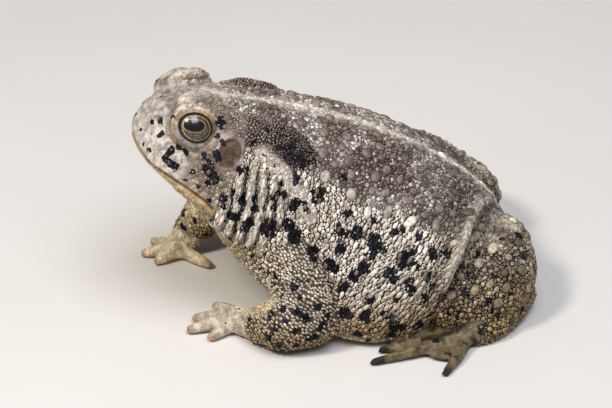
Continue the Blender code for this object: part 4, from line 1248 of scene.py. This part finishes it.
def test_closed(faces):
    """Whether each edge runs once each way, so the shape is closed and its faces agree."""
    runs = {(a, b) for f in faces.tolist() for a, b in zip(f, f[1:] + f[:1])}
    return len(runs) == 3 * len(faces) and all((b, a) in runs for a, b in runs)


for segments, rings, _ in DOMES:
    faces = dome(segments, rings)[1]
    print("dome of", len(faces), "faces, closed:", test_closed(faces))


# %% Grow the glands
ROOM_IN_BOX = 0.35              # how near a side of the box the pressing starts
PATCH = 0.003                   # the width of a gland's patch on the UV map
box_low, box_high = (np.array(corner) / MM - (0.0, SNOUT_Y, 0.0) for corner in (cad_low, cad_high))


def inside_box(points):
    """Keeps points within the solids' box: what comes near a side is pressed together before it."""
    points = points.copy()
    for axis in range(3):
        for limit, way in ((box_high[axis], 1), (box_low[axis], -1)):
            start = limit - way * ROOM_IN_BOX
            over = way * (points[:, axis] - start)
            pressed = ROOM_IN_BOX * (1 - np.exp(-np.maximum(over, 0) / ROOM_IN_BOX))
            points[:, axis] = np.where(over > 0, start + way * pressed, points[:, axis])
    return points


def new_mesh(name, points, faces):
    """A smooth mesh object from points in millimetres counted from the snout."""
    mesh = bpy.data.meshes.new(name)
    mesh.from_pydata(in_room(inside_box(points)).tolist(), [], faces.tolist())
    mesh.shade_smooth()
    return in_scene(name, mesh)


def add_fields(mesh, colours, **numbers):
    """Stores the colour and the number fields at each point for the material to read."""
    paint = mesh.attributes.new("paint", "FLOAT_COLOR", "POINT")
    paint.data.foreach_set("color", np.column_stack([colours, np.ones(len(colours))]).ravel())
    for name, values in numbers.items():
        mesh.attributes.new(name, "FLOAT", "POINT").data.foreach_set("value", np.asarray(values, float))


def bake_map(mesh, spots_at, faces_each, corner_at):
    """A UV map that lays each gland's faces as a small patch at its root's place on the skin's unwrap."""
    layer = mesh.uv_layers.new(name="OFBake")
    layer.data.foreach_set("uv", (np.repeat(spots_at, faces_each * 3, axis=0) + corner_at).ravel())


def unwrap(chosen):
    """The roots' places on an unwrap of the skin: along the body and round it, the limbs below."""
    turn = np.arctan2(at_root["side"][chosen], at_root["above"][chosen] - 3.0) / (2 * math.pi)
    u = 0.02 + 0.96 * (at_root["along"][chosen] + 2) / 104
    v = np.where(at_root["trunk"][chosen] > 0.5, 0.66 + 0.64 * turn, 0.02 + 0.28 * (0.5 + turn))
    return np.stack([u, v], axis=1)


def glands(name, chosen):
    """Joins the chosen glands into one mesh: a dome is scaled, laid along its flow and set on its root."""
    all_points, all_faces, colours, marks, tips, uv_spots, uv_counts, uv_corners = ([] for _ in range(8))
    start = 0
    for kind, (segments, rings, rise) in enumerate(DOMES):
        own = chosen[kinds[chosen] == kind]
        points, faces = dome(segments, rings)
        size = sizes[own][:, None, None]
        aft, up = flow[own], root_normal[own]
        wide = np.cross(up, aft)
        long = (1 + stretch[own])[:, None, None]
        local = points[None, :, :] * size
        placed = (roots[own][:, None] + local[..., :1] * long * aft[:, None] + local[..., 1:2] / long ** 0.5
                  * wide[:, None] + local[..., 2:] * rise * up[:, None])
        all_points.append(placed.reshape(-1, 3))
        first = start + (np.arange(len(own)) * len(points))[:, None, None]
        all_faces.append((faces[None] + first).reshape(-1, 3))
        start += len(own) * len(points)
        # each dome runs from the ground colour, with its painted shade, at its sunk rim to its crown colour
        # at the top
        high = smooth_step(points[:, 2], -0.15, 0.55)[None, :, None]
        blend = at_root["ground"][own][:, None] * (1 - high) + gland_crown[own][:, None] * high
        colours.append(blend.reshape(-1, 3))
        marks.append(np.repeat(gland_mark[own], len(points)))
        top = (points[:, 2] > 0.99)[None] * has_tip[own][:, None] * (0.65 if kind == 0 else 1.0)
        tips.append(top.astype(float).ravel())
        uv_spots.append(unwrap(own))
        uv_counts.append(np.full(len(own), len(faces)))
        uv_corners.append(np.tile(points[faces.ravel(), :2] * PATCH / 2, (len(own), 1)))
    piece = new_mesh(name, np.concatenate(all_points), np.concatenate(all_faces))
    add_fields(piece.data, np.concatenate(colours), mark=np.concatenate(marks), tip=np.concatenate(tips))
    bake_map(piece.data, np.concatenate(uv_spots), np.concatenate(uv_counts), np.concatenate(uv_corners))
    print(name, "has", len(piece.data.polygons), "triangles")
    return piece


# %% Join the glands into four pieces
on_back_now = at_root["back"] > 0.5
on_trunk_now = (at_root["trunk"] > 0.5) & ~on_back_now
left_now = at_root["side"] > 0
gland_pieces = [
    glands("back_glands", np.flatnonzero(on_back_now)),
    glands("left_flank_glands", np.flatnonzero(on_trunk_now & left_now)),
    glands("right_flank_glands", np.flatnonzero(on_trunk_now & ~left_now)),
    glands("limb_glands", np.flatnonzero(~on_back_now & ~on_trunk_now)),
]

# %% The skin's own mesh
skin_mesh.vertices.foreach_set("co", in_room(inside_box(skin_points)).ravel())
skin_mesh.shade_smooth()
skin = in_scene("skin", skin_mesh)
add_fields(skin_mesh, ground, mark=mark, tip=np.zeros(len(ground)))
print("skin has", len(skin_mesh.polygons), "faces")

# %% [markdown]
# Toad skin is dry but waxy: it scatters light softly, and each gland still shows a small soft
# highlight. One material serves skin and glands. It reads the painted colour, lays the blotches where
# the blotch field and two noises together pass a limit, and adds a fine grain of pores. Dark paint
# shines less than light paint, because the photograph's blotches are nearly dull.

# %% Helpers for materials
def feed(tree, socket, value):
    """Links a value's socket to this one, or sets this one where the value is plain."""
    if isinstance(value, bpy.types.NodeSocket):
        tree.links.new(value, socket)
    else:
        socket.default_value = value


def node(tree, kind, settings=None, **links):
    """Adds a node, sets its settings, and links or sets its inputs by name or by number, as i0, i1."""
    made = tree.nodes.new(kind)
    for key, value in (settings or {}).items():
        setattr(made, key, value)
    for key, value in links.items():
        numbered = key[0] == "i" and key[1:].isdigit()
        feed(tree, made.inputs[int(key[1:]) if numbered else key.replace("_", " ")], value)
    return made


def new_material(name):
    """A material, its node tree, and the place of each point on its object."""
    material = bpy.data.materials.new(name)
    material.use_nodes = True
    tree = material.node_tree
    return material, tree, node(tree, "ShaderNodeTexCoord").outputs["Object"]


def set_surface(tree, **inputs):
    """Links or sets inputs of the material's surface by name."""
    for name, value in inputs.items():
        feed(tree, tree.nodes["Principled BSDF"].inputs[name.replace("_", " ")], value)


def field(tree, name, output="Fac"):
    """Reads a field of the mesh."""
    return node(tree, "ShaderNodeAttribute", {"attribute_name": name}).outputs[output]


def noise(tree, place, scale, detail, roughness=0.5):
    """Noise from 0 to 1, with that many waves to the metre."""
    return node(tree, "ShaderNodeTexNoise", Vector=place, Scale=scale, Detail=detail,
                Roughness=roughness).outputs["Fac"]


def times_plus(tree, value, factor, other):
    """The value times the factor, plus the other."""
    return node(tree, "ShaderNodeMath", {"operation": "MULTIPLY_ADD"}, i0=value, i1=factor,
                i2=other).outputs[0]


def rgba(code):
    """A hex code as the four numbers of a colour socket."""
    return (*linear(code), 1.0)


def mixed(tree, share, low, high, blend="MIX"):
    """The low colour where the share is 0 and the high one, or their blend, where it is 1."""
    made = node(tree, "ShaderNodeMix", {"data_type": "RGBA", "blend_type": blend}, i0=share, i6=low, i7=high)
    return made.outputs[2]


def ramp(tree, value, low, high, curve="SMOOTHSTEP", ends=(0.0, 1.0)):
    """The first of the two ends below low and the second above high."""
    return node(tree, "ShaderNodeMapRange", {"interpolation_type": curve}, Value=value, From_Min=low,
                From_Max=high, To_Min=ends[0], To_Max=ends[1]).outputs[0]


print("nodes for", ", ".join(made.__name__ for made in (field, noise, times_plus, mixed, ramp)))

# %% Toad skin material
EDGE_LIMIT = (1.58, 1.72)       # a blotch starts and is full where mark and noises add up to these

toad_skin, tree, place = new_material("toad skin, dry and waxy")
blotchy = noise(tree, place, 700.0, 4.0, 0.65)
grain = noise(tree, place, 2600.0, 2.0)
pores = node(tree, "ShaderNodeTexVoronoi", Vector=place, Scale=1500.0).outputs["Distance"]
shade = mixed(tree, ramp(tree, blotchy, 0.35, 0.70), rgba("#9a918a"), rgba("#ffffff"))
tinted = mixed(tree, 0.8, field(tree, "paint", "Color"), shade, "MULTIPLY")
edge = times_plus(tree, blotchy, 1.4, times_plus(tree, grain, 0.9, field(tree, "mark")))
# the blotches' own navy-black, with lighter blue patches that stand for their sheen: painted sheen
ink_and_sheen = mixed(tree, ramp(tree, blotchy, 0.48, 0.68), rgba("#090c11"), rgba("#232c39"))
marked = mixed(tree, ramp(tree, edge, *EDGE_LIMIT), tinted, ink_and_sheen)
tipped = mixed(tree, ramp(tree, field(tree, "tip"), 0.40, 0.75), marked, rgba("#6f3d31"))
lightness = node(tree, "ShaderNodeRGBToBW", Color=tipped).outputs[0]
relief = node(tree, "ShaderNodeMath", {"operation": "ADD"}, i0=pores, i1=grain).outputs[0]
set_surface(
    tree, Base_Color=tipped,
    Specular_IOR_Level=ramp(tree, lightness, 0.0, 0.12, "LINEAR", (0.10, 0.42)),
    Roughness=ramp(tree, blotchy, 0.0, 1.0, "LINEAR", (0.38, 0.60)),
    Subsurface_Weight=0.08, Subsurface_Radius=(0.0012, 0.0007, 0.0004), Subsurface_Scale=1.0,
    Normal=node(tree, "ShaderNodeBump", Height=relief, Strength=0.35, Distance=0.0002).outputs[0])
for piece in (skin, *gland_pieces):
    piece.data.materials.append(toad_skin)
print("toad skin on", 1 + len(gland_pieces), "pieces")

# %% [markdown]
# The eye is a ball under a clear wet cornea: an oval black pupil with a thin pale gold ring, a dark
# iris with gold flecks, and a dark rim, painted shade where the lids meet the ball. The rings are ovals
# measured square to the gaze, so the ball carries two fields: how many pupil sizes, and how many
# opening sizes, a point is from the middle.

# %% Eyes
EYE_LATITUDES, EYE_LONGITUDES = 60, 96
PUPIL = (2.35, 1.38)
PUPIL_AT = (-0.80, 0.35)
PUPIL_ROLL = math.radians(17.0)
PUPIL_POWER = 2.3               # 2 would be an ellipse


def ball(sign):
    """An eyeball about its gaze, as rings of points, with the pupil and opening fields at each."""
    middle, axes = eye_axes(sign)
    tilt = np.linspace(0, math.pi, EYE_LATITUDES)[1:-1, None]
    turn = np.linspace(0, 2 * math.pi, EYE_LONGITUDES, endpoint=False)[None]
    around = (np.sin(tilt) * np.cos(turn), np.sin(tilt) * np.sin(turn), np.cos(tilt))
    local = np.stack(np.broadcast_arrays(*around), axis=-1).reshape(-1, 3)
    local = np.concatenate([[(0.0, 0.0, 1.0)], local, [(0.0, 0.0, -1.0)]]) * EYE_RADIUS
    rows, count = EYE_LATITUDES - 2, EYE_LONGITUDES
    quad = [(1 + r * count + j, 1 + (r + 1) * count + j, 1 + (r + 1) * count + (j + 1) % count,
             1 + r * count + (j + 1) % count) for r in range(rows - 1) for j in range(count)]
    fan = [(0, 1 + j, 1 + (j + 1) % count) for j in range(count)]
    last = 1 + (rows - 1) * count
    fan += [(last + count, last + (j + 1) % count, last + j) for j in range(count)]
    if np.cross(axes[0], axes[1]) @ axes[2] < 0:
        quad, fan = [face[::-1] for face in quad], [face[::-1] for face in fan]
    x, y = local[:, 0] - PUPIL_AT[0], local[:, 1] - PUPIL_AT[1]
    turned = np.stack([x * math.cos(PUPIL_ROLL) + y * math.sin(PUPIL_ROLL),
                       y * math.cos(PUPIL_ROLL) - x * math.sin(PUPIL_ROLL)])
    pupil = (np.abs(turned / np.array(PUPIL)[:, None]) ** PUPIL_POWER).sum(axis=0) ** (1 / PUPIL_POWER)
    iris = np.hypot(local[:, 0] / OPENING[0], local[:, 1] / OPENING[1])
    pupil, iris = (np.where(local[:, 2] < 0, FAR_OFF, share) for share in (pupil, iris))
    return middle + local @ axes, quad + fan, pupil, iris


print("an eyeball has", len(ball(1)[1]), "faces")

# %% Wet eye material
wet_eye, tree, place = new_material("wet eye, gold flecked")
pupil_at, iris_at = field(tree, "pupil"), field(tree, "iris")
flecks = noise(tree, place, 3200.0, 3.0, 0.7)
iris_paint = mixed(tree, ramp(tree, flecks, 0.54, 0.64), rgba("#241b14"), rgba("#a5824f"))
outer_gold = mixed(tree, ramp(tree, flecks, 0.35, 0.6), rgba("#5e4a30"), rgba("#a58a5f"))
painted = mixed(tree, ramp(tree, iris_at, 0.79, 0.82), iris_paint, outer_gold)
# painted shade: a dark ring at the ball's edge where the lids meet it
painted = mixed(tree, ramp(tree, iris_at, 0.87, 0.91), painted, rgba("#17130f"))
inner = mixed(tree, ramp(tree, pupil_at, 1.06, 1.12), rgba("#b39a6c"), painted)
painted = mixed(tree, ramp(tree, pupil_at, 1.0, 1.04), rgba("#020203"), inner)
set_surface(tree, Base_Color=painted, Roughness=0.25, Coat_Weight=1.0, Coat_Roughness=0.02, Coat_IOR=1.4)
eyes = {}
for sign, name in ((1, "left_eyeball"), (-1, "right_eyeball")):
    points, faces, pupil, iris = ball(sign)
    mesh = bpy.data.meshes.new(name)
    mesh.from_pydata(in_room(points).tolist(), [], faces)
    mesh.shade_smooth()
    for field, values in (("pupil", pupil), ("iris", iris)):
        mesh.attributes.new(field, "FLOAT", "POINT").data.foreach_set("value", values)
    eyes[sign] = in_scene(name, mesh)
    mesh.materials.append(wet_eye)
    print(name, "has", len(faces), "faces")

# %% [markdown]
# Every piece rides on the root, because nothing here moves. The eyeballs stand in for the two eyes,
# and the skin for all the other nodes. The model sits on a pale matt floor under a soft sky, with a
# wide softbox above it and a smaller, warmer key light in front.

# %% Rides and replaced nodes
for piece in (skin, *gland_pieces):
    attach(piece, "root")
for sign, name in ((1, "eye_left"), (-1, "eye_right")):
    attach(eyes[sign], "root")
    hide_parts(name)
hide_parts(*(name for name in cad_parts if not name.startswith("eye_")))

print("skin, eyes and", len(gland_pieces), "pieces of glands ride on the root")

# %% Stage and lights
FLOOR_HALF = 1.2                # metres

floor = in_scene("floor", bpy.data.meshes.new("floor"))
floor.data.from_pydata([(-FLOOR_HALF, -FLOOR_HALF, 0.0), (FLOOR_HALF, -FLOOR_HALF, 0.0),
                        (FLOOR_HALF, FLOOR_HALF, 0.0), (-FLOOR_HALF, FLOOR_HALF, 0.0)], [], [(0, 1, 2, 3)])
pale_floor, tree, place = new_material("pale matt floor")
dust = noise(tree, place, 9.0, 4.0)
set_surface(tree, Base_Color=mixed(tree, dust, rgba("#c9c6c1"), rgba("#d6d3ce")), Roughness=0.9)
floor.data.materials.append(pale_floor)
floor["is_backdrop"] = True

sky = bpy.data.worlds.new("soft sky")
sky.use_nodes = True
sky.node_tree.nodes["Background"].inputs["Color"].default_value = rgba("#e9eef5")
sky.node_tree.nodes["Background"].inputs["Strength"].default_value = 0.30
bpy.context.scene.world = sky


def lamp(name, place, size, power, tint):
    """A square soft light that faces the toad."""
    light = bpy.data.lights.new(name, "AREA")
    light.energy, light.size, light.color = power, size, linear(tint)
    holder = in_scene(name, light)
    holder.location = place
    holder.rotation_mode = "QUATERNION"
    holder.rotation_quaternion = (Vector((0, 0, 0.02)) - Vector(place)).to_track_quat("-Z", "Y")


lamp("softbox above", (0.35, 0.05, 0.75), 0.5, 5.9, "#f0f3fa")
lamp("key light", (0.20, -0.45, 0.65), 0.16, 4.2, "#fff6ea")
bpy.context.scene.view_settings.view_transform = "Standard"
print("floor, soft sky and two lights stand")

low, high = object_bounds()
